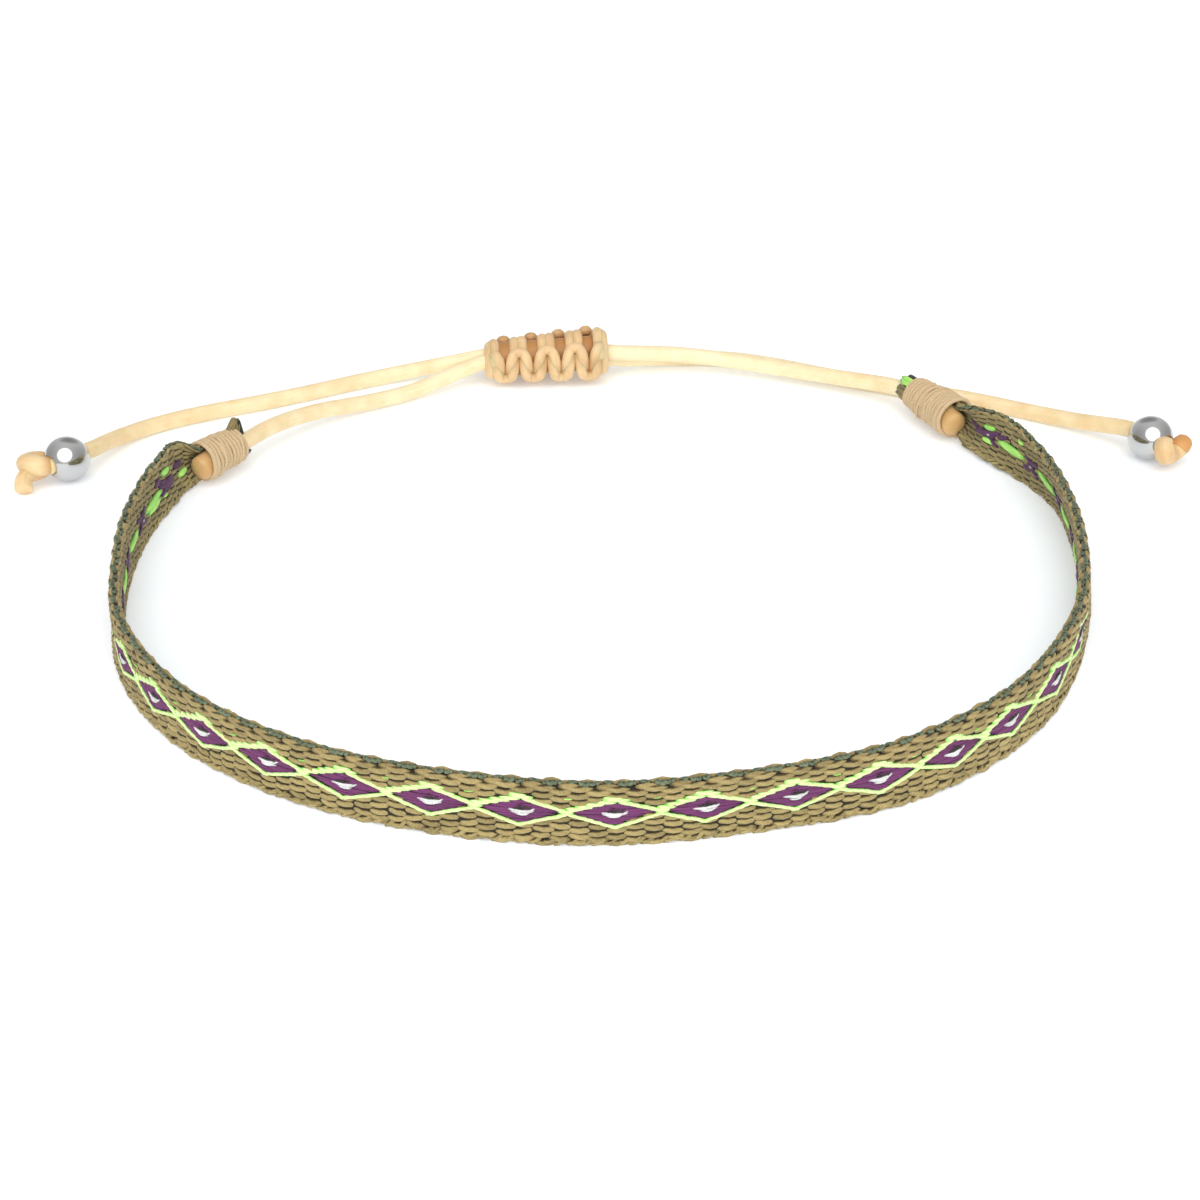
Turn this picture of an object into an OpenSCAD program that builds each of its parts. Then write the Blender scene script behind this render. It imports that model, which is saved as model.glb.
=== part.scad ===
// Friendship bracelet: a woven band lying on its edge as an open loop, closed by two satin cords
// that pass each other in a knotted slider and end in a steel bead and a stopper knot.
// The floor is z = 0. The front of the loop faces -Y.

/* [Woven band] */
// Width of the band, which is its height as it stands on its edge
band_w = 4.5; // [3.5:0.1:4.6]
// Thickness of the weave
band_t = 1.0; // [0.6:0.05:1.2]
// How far the band's left cut end stands out of its binding
left_stub_len = 0.6; // [0.5:0.1:2.0]
// How far the band's right cut end stands out of its binding
right_stub_len = 1.4; // [0.6:0.1:2.0]

/* [Bindings] */
// Length of the left thread binding
left_wrap_len = 4.7; // [4.5:0.1:6]
// Length of the right thread binding
right_wrap_len = 6.4; // [6:0.1:8]
// Outer diameter of a binding
wrap_d = 3.8; // [3.7:0.05:4.2]
// Width of one turn of the binding thread
thread_w = 0.55; // [0.4:0.05:0.8]

/* [Cords] */
// Diameter of the satin cord
cord_d = 1.5; // [1.0:0.05:1.5]

/* [Slider knot] */
// Length of the knotted slider
slider_len = 12; // [11:0.1:13]
// Thickness of the slider, floor to top
slider_h = 4.5; // [4.2:0.1:4.7]
// Width of the slider across its side bumps
slider_w = 5.8; // [5.4:0.1:6.0]
// Number of bumps along each side
slider_bumps = 4; // [3:1:5]

/* [Beads and stopper knots] */
// Diameter of a steel bead
bead_d = 4.0; // [3.6:0.1:4.2]
// Length of a bead along its hole
bead_len = 3.5; // [3.2:0.1:3.6]
// Diameter of the main lobe of a stopper knot
knot_d = 2.5; // [2.2:0.1:2.8]

/* [Hidden] */

$fn = 48;
gap = 0.05;
cord_r = cord_d / 2;
axis_z = 2.2;

// The bindings: the band-side end of each axis in plan, and the heading of the cord side
left_wrap_at = [-35.5, 12.8];
left_wrap_yaw = 55;
right_wrap_at = [32.1, 21.7];
right_wrap_yaw = 117;

// Inside a binding the band is gathered into a C round the cord's end
wrap_bore_r = 1.56;
gathered_r = 1.17;
gathered_t = 0.66;
gathered_w = 4.1;
cord_shift = 0.25;

// Plan unit vector of a heading, and the unit vector to its left
function heading(a) = [cos(a), sin(a)];
function left_of(a) = [-sin(a), cos(a)];
function deg(rad) = rad * 180 / PI;
gathered_curl = deg(gathered_w / gathered_r);

// The band's middle line in plan, from the left binding round the front to the right binding.
// lean > 0 tips the top edge outwards, curl is the arc that the width is bent into.
// Columns: x, y, lean, curl, thickness, width
left_out = left_of(left_wrap_yaw);
right_out = -left_of(right_wrap_yaw);
left_in_wrap = left_wrap_at + gathered_r * left_out;
right_in_wrap = right_wrap_at + gathered_r * right_out;
band_rows = [
    concat(left_in_wrap, [0, gathered_curl, gathered_t, gathered_w]),
    [-37.1,  12.2,   5,  52, 0.90 * band_t, 0.98 * band_w],
    [-37.9,   8.8,   1,  18, band_t, band_w],
    [-38.6,   3.4,  -4,   4, band_t, band_w],
    [-38.7,  -1.6,  -5,   0, band_t, band_w],
    [-38.0,  -8.6,  -5,   0, band_t, band_w],
    [-35.9, -17.6,   0,   0, band_t, band_w],
    [-29.8, -27.2,   0,   0, band_t, band_w],
    [-20.6, -34.0,   0,   0, band_t, band_w],
    [-10.5, -37.5,   0,   0, band_t, band_w],
    [ -0.6, -38.7,   0,   0, band_t, band_w],
    [  9.4, -37.3,   0,   0, band_t, band_w],
    [ 19.2, -34.2,   0,   0, band_t, band_w],
    [ 28.4, -27.1,   0,   0, band_t, band_w],
    [ 34.5, -17.1,  -4,   0, band_t, band_w],
    [ 37.4,  -6.6, -11,   0, band_t, band_w],
    [ 38.3,   1.9, -15,   0, band_t, band_w],
    [ 38.1,   8.4, -17,   3, band_t, band_w],
    [ 37.0,  12.9,  -9,  10, band_t, band_w],
    [ 34.9,  17.5,   5,  36, band_t, band_w],
    [ 33.8,  19.8,   0,  90, 0.90 * band_t, 0.97 * band_w],
    concat(right_in_wrap, [0, gathered_curl, gathered_t, gathered_w])
];
// Columns of a band row
X = 0; Y = 1; LEAN = 2; CURL = 3; THICK = 4; WIDTH = 5;

// The plan heading of the band where it enters each binding, walking from left to right
first_step = -heading(left_wrap_yaw);
last_step = heading(right_wrap_yaw);
band_last = len(band_rows) - 1;

function plan(row) = [row[X], row[Y]];
function row_gap(i) = norm(plan(band_rows[i + 1]) - plan(band_rows[i]));
function row_rate(i) = (band_rows[i + 1] - band_rows[i]) / row_gap(i);
function row_tangent(i) =
    i == 0 ? concat(first_step, [0, 0, 0, 0]) :
    i == band_last ? concat(last_step, [0, 0, 0, 0]) :
    (row_rate(i) * row_gap(i - 1) + row_rate(i - 1) * row_gap(i)) / (row_gap(i - 1) + row_gap(i));

// A row between row i and the next, by a cubic through both with their tangents
function band_row(i, u) =
    let (d = row_gap(i), u2 = u * u, u3 = u2 * u)
    (2 * u3 - 3 * u2 + 1) * band_rows[i] + (u3 - 2 * u2 + u) * d * row_tangent(i)
    + (3 * u2 - 2 * u3) * band_rows[i + 1] + (u3 - u2) * d * row_tangent(i + 1);

// A station of the band: its row and its plan step
function station(row, step) = [row, step];
station_step = 2.3;
function free_stations() = [
    for (i = [0 : band_last - 1])
        let (n = max(2, ceil(row_gap(i) / station_step)))
            for (k = [(i == 0 ? 0 : 1) : n])
                let (u = k / n, near = 0.001,
                     ahead = plan(band_row(i, min(1, u + near))),
                     behind = plan(band_row(i, max(0, u - near))),
                     step = (ahead - behind) / norm(ahead - behind))
                    station(band_row(i, u), step)
];
function moved(row, by) = [row[X] + by[X], row[Y] + by[Y], row[LEAN], row[CURL], row[THICK], row[WIDTH]];
// The cut ends: straight through the binding, then out of it, cupped round the cord
end_from = 0.1;
end_curl = 215;
function cut_end(row, by) =
    [row[X] + by[X], row[Y] + by[Y], 0, end_curl, gathered_t, band_w];
left_end_row = band_rows[0];
right_end_row = band_rows[band_last];
band_stations = concat(
    [station(cut_end(left_end_row, -(left_wrap_len + left_stub_len) * first_step), first_step)],
    [station(moved(left_end_row, -(left_wrap_len + end_from) * first_step), first_step)],
    [station(moved(left_end_row, -left_wrap_len / 2 * first_step), first_step)],
    free_stations(),
    [station(moved(right_end_row, right_wrap_len / 2 * last_step), last_step)],
    [station(moved(right_end_row, (right_wrap_len + end_from) * last_step), last_step)],
    [station(cut_end(right_end_row, (right_wrap_len + right_stub_len) * last_step), last_step)]
);

// The band's section at a station: outer face from bottom to top, then inner face back down.
// u runs outwards from the middle line, v upwards.
across = 8;
flat_curl = 0.1;
function section(row) =
    let (curl = max(flat_curl, row[CURL]), r = row[WIDTH] / (curl * PI / 180), half = row[THICK] / 2)
    concat(
        [for (k = [0 : across]) let (a = (k / across - 0.5) * curl)
            [(r + half) * cos(a) - r, (r + half) * sin(a)]],
        [for (k = [across : -1 : 0]) let (a = (k / across - 0.5) * curl)
            [(r - half) * cos(a) - r, (r - half) * sin(a)]]
    );
function leaned(p, a) = [p[0] * cos(a) + p[1] * sin(a), p[1] * cos(a) - p[0] * sin(a)];
function ring(s) =
    let (row = s[0], step = s[1], out = [step[1], -step[0]],
         pts = [for (p = section(row)) leaned(p, row[LEAN])],
         lift = max(axis_z, -min([for (p = pts) p[1]])))
    [for (p = pts) [row[X] + out[0] * p[0], row[Y] + out[1] * p[0], lift + p[1]]];

// A closed polyhedron through rings of points that all have the same number of corners
module skin(rings) {
    n = len(rings[0]);
    m = len(rings);
    polyhedron(
        points = [for (r = rings) for (p = r) p],
        faces = concat(
            [[for (k = [n - 1 : -1 : 0]) k]],
            [for (j = [0 : m - 2]) for (k = [0 : n - 1])
                [j * n + k, j * n + (k + 1) % n, (j + 1) * n + k]],
            [for (j = [0 : m - 2]) for (k = [0 : n - 1])
                [(j + 1) * n + k, j * n + (k + 1) % n, (j + 1) * n + (k + 1) % n]],
            [[for (k = [0 : n - 1]) (m - 1) * n + k]]
        )
    );
}

// The slider's axis in plan, and the half twist that the two cords make inside it
slider_at = [-5.9, 36.05];
slider_yaw = 5.2;
slider_z = slider_h / 2;
pair_r = 0.8;
pair_bore_r = 1.6;
twist = 135;
twist_steps = 6;
// side is 1 for the right cord and -1 for the left cord
function in_slider(side) = [
    for (k = [0 : twist_steps])
        let (a = twist * k / twist_steps, along = slider_len * (k / twist_steps - 0.5),
             at = slider_at + along * heading(slider_yaw)
                  + side * pair_r * cos(a) * left_of(slider_yaw))
            [at[0], at[1], slider_z + side * pair_r * sin(a)]
];
function turned_round(pts) = [for (k = [len(pts) - 1 : -1 : 0]) pts[k]];

// Beads: centre, and the heading of the hole towards the stopper knot
left_bead_at = [-47.4, 13.8];
left_bead_yaw = 230;
right_bead_at = [48.8, 18.1];
right_bead_yaw = -56;
bead_r = bead_d / 2;
function at_height(p, z) = [p[0], p[1], z];
function bead_hole(at, yaw) = [
    at_height(at - bead_len / 2 * heading(yaw), bead_r),
    at_height(at + bead_r * heading(yaw), bead_r)
];
cord_lead = 0.4;
function cord_in_wrap(at, yaw, inner, along) =
    at_height(at + along * heading(yaw) + cord_shift * inner, axis_z);

// Left cord: from its end in the left binding, through the slider, to the right bead
left_cord_route = concat(
    [[-35.7, 11.5, 2.2],
     cord_in_wrap(left_wrap_at, left_wrap_yaw, -left_out, 0),
     cord_in_wrap(left_wrap_at, left_wrap_yaw, -left_out, left_wrap_len + cord_lead),
     [-30.5, 20.2, 2.1],
     [-28.6, 22.8, 1.85],
     [-26.4, 25.2, 1.5],
     [-24.0, 27.1, 1.15],
     [-21.4, 29.0, 0.9],
     [-18.7, 30.7, 0.95],
     [-16.2, 32.3, 1.35],
     [-13.9, 33.8, 1.85]],
    in_slider(-1),
    [[1.8, 37.7, 1.35],
     [4.2, 38.6, 1.05],
     [7.2, 39.3, 0.8],
     [10.2, 39.4, 0.75],
     [13.2, 38.9, 0.75],
     [16.2, 37.8, 0.75],
     [19.2, 36.3, 0.75],
     [22.0, 34.8, 0.75],
     [24.9, 33.4, 0.75],
     [27.8, 32.1, 0.75],
     [30.6, 31.0, 0.75],
     [33.4, 29.9, 0.75],
     [36.2, 28.5, 0.75],
     [38.8, 27.0, 0.75],
     [41.3, 25.4, 0.85],
     [43.5, 23.7, 1.1],
     [45.3, 22.1, 1.5],
     [46.8, 20.7, 1.85]],
    bead_hole(right_bead_at, right_bead_yaw)
);

// Right cord: from its end in the right binding, through the slider, to the left bead
right_cord_route = concat(
    [[32.2, 20.4, 2.2],
     cord_in_wrap(right_wrap_at, right_wrap_yaw, -right_out, 0),
     cord_in_wrap(right_wrap_at, right_wrap_yaw, -right_out, right_wrap_len + cord_lead),
     [27.2, 29.5, 2.05],
     [25.2, 31.0, 1.8],
     [22.6, 32.6, 1.55],
     [19.6, 34.1, 1.45],
     [16.5, 35.4, 1.45],
     [13.4, 36.5, 1.55],
     [10.3, 37.1, 1.75],
     [7.2, 37.2, 2.05],
     [4.2, 36.8, 2.35],
     [1.9, 36.3, 2.6]],
    turned_round(in_slider(1)),
    [[-14.4, 36.2, 1.75],
     [-16.9, 35.9, 1.35],
     [-19.5, 35.4, 1.0],
     [-22.1, 34.5, 0.8],
     [-24.8, 33.1, 0.75],
     [-27.5, 31.5, 0.75],
     [-30.3, 29.9, 0.75],
     [-33.2, 28.4, 0.75],
     [-36.1, 27.0, 0.75],
     [-38.9, 25.5, 0.75],
     [-41.3, 23.9, 0.75],
     [-43.2, 21.9, 0.9],
     [-44.5, 19.7, 1.2],
     [-45.3, 17.5, 1.6],
     [-45.7, 16.0, 1.9]],
    bead_hole(left_bead_at, left_bead_yaw)
);

// A cord: a round tube swept along its route, a ring at each point
cord_sides = 8;
function unit(v) = v / norm(v);
module cord_tube(route) {
    last = len(route) - 1;
    skin([
        for (i = [0 : last])
            let (along = unit(unit(route[min(i + 1, last)] - route[i == last ? i - 1 : i])
                              + unit(route[i == 0 ? 1 : i] - route[max(i - 1, 0)])),
                 side = unit(cross(along, [0, 0, 1])), up = cross(side, along))
                [for (k = [0 : cord_sides - 1]) let (a = 360 * k / cord_sides)
                    route[i] + cord_r * (cos(a) * side + sin(a) * up)]
    ]);
}

// A thread binding: a wound tube, one shallow scallop for each turn of the thread
thread_relief = 0.1;
right_wrap_taper = 0.25;
scallop_points = 4;
module wrap_tube(length, end_d) {
    turns = round(length / thread_w);
    pitch = length / turns;
    outline = [
        for (i = [0 : turns - 1])
            for (k = [(i == 0 ? 0 : 1) : scallop_points])
                let (x = (i + k / scallop_points) * pitch,
                     r = wrap_d / 2 + (end_d - wrap_d) / 2 * x / length)
                    [r - thread_relief * (1 - sin(180 * k / scallop_points)), x]
    ];
    rotate([0, 90, 0])
        rotate_extrude()
            polygon(concat([[wrap_bore_r, 0]], outline, [[wrap_bore_r, length]]));
}

module placed(at, z, yaw) {
    translate([at[0], at[1], z]) rotate([0, 0, yaw]) children();
}

module woven_band() {
    color([0.57, 0.49, 0.29]) skin([for (s = band_stations) ring(s)]);
}

module left_wrap() {
    color([0.80, 0.69, 0.53])
        placed(left_wrap_at, axis_z, left_wrap_yaw) wrap_tube(left_wrap_len, wrap_d);
}

module right_wrap() {
    color([0.80, 0.69, 0.53])
        placed(right_wrap_at, axis_z, right_wrap_yaw) wrap_tube(right_wrap_len, wrap_d - right_wrap_taper);
}

module left_cord() {
    color([0.97, 0.88, 0.67]) cord_tube(left_cord_route);
}

module right_cord() {
    color([0.97, 0.88, 0.67]) cord_tube(right_cord_route);
}

// The knotted slider: a round core with a row of bumps along each side, bored for the two cords
bump_r = 1.35;
core_inset = 0.4;
core_len = slider_len - 2 * core_inset;
module slider_knot() {
    bump_pitch = (slider_len - 2 * bump_r) / (slider_bumps - 1);
    color([0.90, 0.78, 0.59])
        placed(slider_at, slider_z, slider_yaw)
            difference() {
                union() {
                    rotate([0, 90, 0]) cylinder(r = slider_h / 2, h = core_len, center = true);
                    for (i = [0 : slider_bumps - 1])
                        for (side = [-1, 1])
                            translate([(i - (slider_bumps - 1) / 2) * bump_pitch,
                                       side * (slider_w / 2 - bump_r), 0])
                                sphere(r = bump_r);
                }
                rotate([0, 90, 0]) cylinder(r = pair_bore_r, h = slider_len + 2, center = true);
            }
}

module bead(at, yaw) {
    color([0.78, 0.78, 0.78])
        placed(at, bead_r, yaw)
            rotate([0, 90, 0])
                rotate_extrude()
                    intersection() {
                        circle(r = bead_r);
                        translate([cord_r + gap, -bead_len / 2]) square([bead_d, bead_len]);
                    }
}

module left_bead() {
    bead(left_bead_at, left_bead_yaw);
}

module right_bead() {
    bead(right_bead_at, right_bead_yaw);
}

// A rod with flat ends between two points
module rod(from, to, r) {
    along = to - from;
    translate(from)
        rotate([0, acos(along[2] / norm(along)), atan2(along[1], along[0])])
            cylinder(r = r, h = norm(along));
}

// A stopper knot: the neck out of the bead, the main lobe, the turn over it and the cut tail
tail_r = 0.7;
turn_r = 0.6;
turn_proud = 0.12;
module stopper_knot(bead_at, yaw, lobe, turn_yaw, tail) {
    color([0.92, 0.79, 0.55])
        difference() {
            union() {
                rod(at_height(bead_at + bead_len / 2 * heading(yaw), bead_r), lobe, tail_r);
                translate(lobe) sphere(r = knot_d / 2);
                translate(lobe)
                    rotate([0, 90, turn_yaw])
                        rotate_extrude() translate([knot_d / 2 - turn_r + turn_proud, 0]) circle(r = turn_r);
                rod(lobe, tail, tail_r);
            }
            translate(at_height(bead_at, bead_r)) sphere(r = bead_r + gap);
            rod(at_height(bead_at, bead_r), at_height(bead_at + (bead_r + gap) * heading(yaw), bead_r),
                cord_r + gap);
        }
}

left_knot_lobe = [-50.2, 13.2, 1.6];
left_knot_tail = [-50.7, 10.0, 0.75];
left_knot_turn = 200;
module left_stopper_knot() {
    stopper_knot(left_bead_at, left_bead_yaw, left_knot_lobe, left_knot_turn, left_knot_tail);
}

right_knot_lobe = [49.7, 15.8, 2.1];
right_knot_tail = [51.7, 17.0, 1.8];
right_knot_turn = -50;
module right_stopper_knot() {
    stopper_knot(right_bead_at, right_bead_yaw, right_knot_lobe, right_knot_turn, right_knot_tail);
}

woven_band();
left_wrap();
right_wrap();
left_cord();
right_cord();
slider_knot();
left_bead();
right_bead();
left_stopper_knot();
right_stopper_knot();
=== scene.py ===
# %% [markdown]
# # A friendship bracelet, thread by thread
# The bracelet is a narrow woven band that stands on its edge as an open loop. Two satin cords
# are bound to its ends, pass each other in a knotted slider, and end in a steel bead and a knot.
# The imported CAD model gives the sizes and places. This lesson dresses it: the cords are swept
# tubes, and the weave is thousands of small thread floats, laid flat and then wrapped onto the
# band.

# %% Load the frame
import bpy
import numpy as np
from math import cos, pi, radians, sin
from mathutils import Matrix, Vector


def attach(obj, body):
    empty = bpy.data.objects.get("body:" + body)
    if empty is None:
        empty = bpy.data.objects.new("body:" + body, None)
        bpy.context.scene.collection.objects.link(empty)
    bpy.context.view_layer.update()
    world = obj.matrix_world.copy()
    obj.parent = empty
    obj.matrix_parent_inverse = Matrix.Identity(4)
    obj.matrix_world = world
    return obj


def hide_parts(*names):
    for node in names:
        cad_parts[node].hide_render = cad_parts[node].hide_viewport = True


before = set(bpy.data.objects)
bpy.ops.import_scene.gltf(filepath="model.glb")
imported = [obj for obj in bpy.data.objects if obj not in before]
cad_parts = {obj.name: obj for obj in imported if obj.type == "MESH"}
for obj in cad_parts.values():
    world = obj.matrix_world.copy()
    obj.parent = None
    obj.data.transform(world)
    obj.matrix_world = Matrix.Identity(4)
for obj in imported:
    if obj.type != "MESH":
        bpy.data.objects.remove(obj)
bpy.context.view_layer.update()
MM = 0.001

# %% [markdown]
# ## Camera
# The camera comes first, because every later choice is judged through it. It looks down at the
# bracelet at 30 degrees from in front, with a lens a little longer than normal. Its place was
# fitted to the photograph: seen from there, the diamonds lie evenly along the band, and the band
# is equally wide all along the front.

# %% Camera
image_px = 1200
focal_px = 1924
sensor_mm = 36.0
aim = Vector((-0.6, -7.5, 0)) * MM
eye = Vector((-0.6, -138.7, 75.8)) * MM


def facing(place, target):
    """The matrix of a camera or a light that stands at place and looks at target."""
    return Matrix.Translation(place) @ (target - place).to_track_quat("-Z", "Y").to_matrix().to_4x4()


camera_data = bpy.data.cameras.new("camera")
camera_data.sensor_width = sensor_mm
camera_data.lens = focal_px / image_px * sensor_mm
camera_data.clip_start = 0.005
camera = bpy.data.objects.new("camera", camera_data)
camera.matrix_world = facing(eye, aim)
bpy.context.scene.collection.objects.link(camera)
bpy.context.scene.camera = camera
print("lens", round(camera_data.lens, 2), "mm")

# %% [markdown]
# ## Floor and light
# A small product on a white table. The room is an even pale grey for the steel beads to mirror,
# with a darker patch halfway up behind the table, and it gets darker to both sides. One soft light
# stands above and in front, so the contact shadows stay small and pale. The table is slightly
# cool, and it glows by itself, more towards the back, so that it stays white up to the top of
# the picture. Both graphs are built with one helper that adds a node and fills its sockets.

# %% Node helpers
def wire(tree, kind, *values, **settings):
    """A node with its sockets filled in order: a link where a socket is given, else a value."""
    node = tree.nodes.new(f"ShaderNode{kind}")
    for key, value in settings.items():
        setattr(node, key, value)
    for slot, value in zip(node.inputs, values):
        if isinstance(value, bpy.types.NodeSocket):
            tree.links.new(value, slot)
        elif value is not None:
            slot.default_value = value
    return node


def maths(tree, operation, *values, clamp=False):
    return wire(tree, "Math", *values, operation=operation, use_clamp=clamp).outputs[0]


def plain_material(name, color, roughness, metallic=0.0):
    mat = bpy.data.materials.new(name)
    mat.use_nodes = True
    shader = mat.node_tree.nodes["Principled BSDF"]
    shader.inputs["Base Color"].default_value = color
    shader.inputs["Roughness"].default_value = roughness
    shader.inputs["Metallic"].default_value = metallic
    return mat


# %% Table
floor_size = 3.0
glow_near, glow_far = 0.22, 0.42
glow_from, glow_to = 0.06, 0.30  # between these distances behind the loop's middle the glow grows

bpy.context.scene.view_settings.view_transform = "Standard"
bpy.ops.mesh.primitive_plane_add(size=floor_size, location=(0, 0, 0))
floor = bpy.context.object
floor.name = "floor"
white = plain_material("white table", (0.88, 0.92, 0.96, 1), 0.6)
table_tree = white.node_tree
depth = wire(table_tree, "SeparateXYZ", wire(table_tree, "TexCoord").outputs["Object"]).outputs["Y"]
glow = wire(table_tree, "MapRange", depth, glow_from, glow_to, glow_near, glow_far).outputs[0]
shader = table_tree.nodes["Principled BSDF"]
shader.inputs["Emission Strength"].default_value = 1.0
table_tree.links.new(glow, shader.inputs["Emission Color"])
floor.data.materials.append(white)
print("table", floor_size, "m wide")

# %% Room
room_greys = ((0.0, 0.95), (0.88, 1.0), (0.95, 0.55), (1.0, 0.44))  # how near to the patch, and how bright
patch_heading = (0, 0.77, 0.64)
room_strength, side_strength = 0.79, -0.32

world = bpy.data.worlds.new("grey room")
world.use_nodes = True
sky = world.node_tree
look = wire(sky, "TexCoord").outputs["Generated"]
nearness = wire(sky, "VectorMath", look, patch_heading, operation="DOT_PRODUCT").outputs["Value"]
ramp = wire(sky, "ValToRGB", nearness)
marks = ramp.color_ramp.elements
for stop, _ in room_greys[1:-1]:
    marks.new(stop)
for mark, (_, grey) in zip(marks, room_greys):
    mark.color = (grey, grey, grey, 1)
sideways = wire(sky, "SeparateXYZ", look).outputs["X"]
strength = maths(sky, "MULTIPLY_ADD", maths(sky, "MULTIPLY", sideways, sideways), side_strength,
                 room_strength)
sky.links.new(ramp.outputs["Color"], sky.nodes["Background"].inputs["Color"])
sky.links.new(strength, sky.nodes["Background"].inputs["Strength"])
bpy.context.scene.world = world
print("room with", len(marks), "greys")


# %% Softbox
def softbox(name, place, size, watts):
    """A round area light that faces the bracelet."""
    data = bpy.data.lights.new(name, "AREA")
    data.shape = "DISK"
    data.size = size
    data.energy = watts
    light = bpy.data.objects.new(name, data)
    light.matrix_world = facing(Vector(place), Vector((0, 0, 0)))
    bpy.context.scene.collection.objects.link(light)


softbox("key softbox", (0.0, -0.40, 0.42), size=0.86, watts=3.05)
print("softbox in place")

# %% [markdown]
# ## Helpers for meshes
# A cord is a tube, and a tube could be a curve with a bevel. Here it is swept in plain numpy
# instead, so that it can be thicker or darker from place to place. Rings of points stand square
# to a path, and each ring keeps the turn of the one before it, so the surface never twists by
# itself. Both ends close in a dome.

# %% Mesh helpers
def mesh_object(name, verts, faces, material, uvs, tone=None):
    """A smooth mesh object with its place in its mesh, in metres."""
    mesh = bpy.data.meshes.new(name)
    mesh.from_pydata(np.asarray(verts).tolist(), [], faces)
    mesh.polygons.foreach_set("use_smooth", [True] * len(mesh.polygons))
    layer = mesh.uv_layers.new(name="UVMap")
    loops = np.empty(len(mesh.loops), dtype=np.int32)
    mesh.loops.foreach_get("vertex_index", loops)
    layer.data.foreach_set("uv", np.asarray(uvs, dtype=np.float32)[loops].ravel())
    if tone is not None:
        shades = mesh.attributes.new("tone", "FLOAT", "POINT").data
        shades.foreach_set("value", np.asarray(tone, dtype=np.float32))
    mesh.materials.append(material)
    obj = bpy.data.objects.new(name, mesh)
    bpy.context.scene.collection.objects.link(obj)
    return obj


def ring_faces(count, sides):
    """The faces between rings of points that follow each other."""
    corners = [(i * sides, k, (k + 1) % sides) for i in range(count - 1) for k in range(sides)]
    return [(ring + k, ring + sides + k, ring + sides + after, ring + after) for ring, k, after in corners]


# %% Path helpers
def smooth_path(points, step):
    """An even, smooth curve through the points, by Catmull-Rom and resampling.

    Columns after the third, such as a radius, are carried along.
    """
    p = np.asarray(points, dtype=float)
    p = np.vstack([2 * p[0] - p[1], p, 2 * p[-1] - p[-2]])
    u = np.linspace(0, 1, 12, endpoint=False)[:, None]
    curve = [0.5 * (2 * b + (c - a) * u + (2 * a - 5 * b + 4 * c - d) * u**2 + (3 * b - a - 3 * c + d) * u**3)
             for a, b, c, d in zip(p, p[1:], p[2:], p[3:])]
    curve = np.vstack(curve + [p[-2:-1]])
    along = np.r_[0, np.cumsum(np.linalg.norm(np.diff(curve[:, :3], axis=0), axis=1))]
    even = np.linspace(0, along[-1], max(2, int(round(along[-1] / step)) + 1))
    return np.stack([np.interp(even, along, column) for column in curve.T], axis=1)


def path_length(path):
    return float(np.linalg.norm(np.diff(path, axis=0), axis=1).sum())


def unit(v):
    return v / np.linalg.norm(v, axis=-1, keepdims=True)


def ring_frames(path):
    """The heading at each point of a path and two directions square to it, without twist."""
    heading = unit(np.gradient(path, axis=0))
    side = unit(np.cross(heading[0], (0, 0, 1)))
    sides = []
    for h in heading:
        side = unit(side - h * (side @ h))
        sides.append(side)
    sides = np.array(sides)
    return heading, sides, np.cross(sides, heading)


# %% Tube helpers
dome_angles = np.radians([60, 30])  # two smaller rings round off each end of a tube


def tube_mesh(path, radius, sides, flat=1.0, dome=0.6):
    """Verts, faces and uvs of a closed tube. flat stretches or squeezes it along its second direction."""
    path = np.asarray(path, dtype=float)
    radius = np.broadcast_to(np.asarray(radius, dtype=float), (len(path),)).copy()
    heading, side, upward = ring_frames(path)
    first = [(path[0] - heading[0] * radius[0] * dome * sin(a), radius[0] * cos(a), 0) for a in dome_angles]
    last = [(path[-1] + heading[-1] * radius[-1] * dome * sin(a), radius[-1] * cos(a), len(path) - 1)
            for a in dome_angles[::-1]]
    centres = np.vstack([[c for c, _, _ in first], path, [c for c, _, _ in last]])
    radii = np.r_[[r for _, r, _ in first], radius, [r for _, r, _ in last]]
    index = np.r_[[i for _, _, i in first], np.arange(len(path)), [i for _, _, i in last]].astype(int)
    angle = np.linspace(0, 2 * pi, sides, endpoint=False)
    rings = (centres[:, None] + radii[:, None, None] * (np.cos(angle)[None, :, None] * side[index][:, None]
             + flat * np.sin(angle)[None, :, None] * upward[index][:, None]))
    poles = [path[0] - heading[0] * radius[0] * dome, path[-1] + heading[-1] * radius[-1] * dome]
    verts = np.vstack([rings.reshape(-1, 3), poles])
    n = len(centres)
    faces = ring_faces(n, sides)
    faces += [(n * sides, k, (k + 1) % sides) for k in range(sides)]
    faces += [(n * sides + 1, (n - 1) * sides + (k + 1) % sides, (n - 1) * sides + k) for k in range(sides)]
    along = np.r_[0, np.cumsum(np.linalg.norm(np.diff(centres, axis=0), axis=1))] / MM
    around = np.abs(np.linspace(-1, 1, sides, endpoint=False))
    grid = np.stack(np.meshgrid(along, around, indexing="ij"), -1).reshape(-1, 2)
    return verts, faces, np.vstack([grid, [[0, 0], [along[-1], 0]]])


def on_rings(values, sides):
    """One value for each vertex of a tube, from one for each path point."""
    ends = np.r_[[values[0]] * 2, values, [values[-1]] * 2]
    return np.r_[np.repeat(ends, sides), values[0], values[-1]]


def joined(parts):
    """Several (verts, faces, uvs) as one."""
    verts, faces, uvs, start = [], [], [], 0
    for v, f, t in parts:
        verts.append(v)
        uvs.append(t)
        faces += [tuple(i + start for i in face) for face in f]
        start += len(v)
    return np.vstack(verts), faces, np.vstack(uvs)


print("mesh helpers ready")

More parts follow.
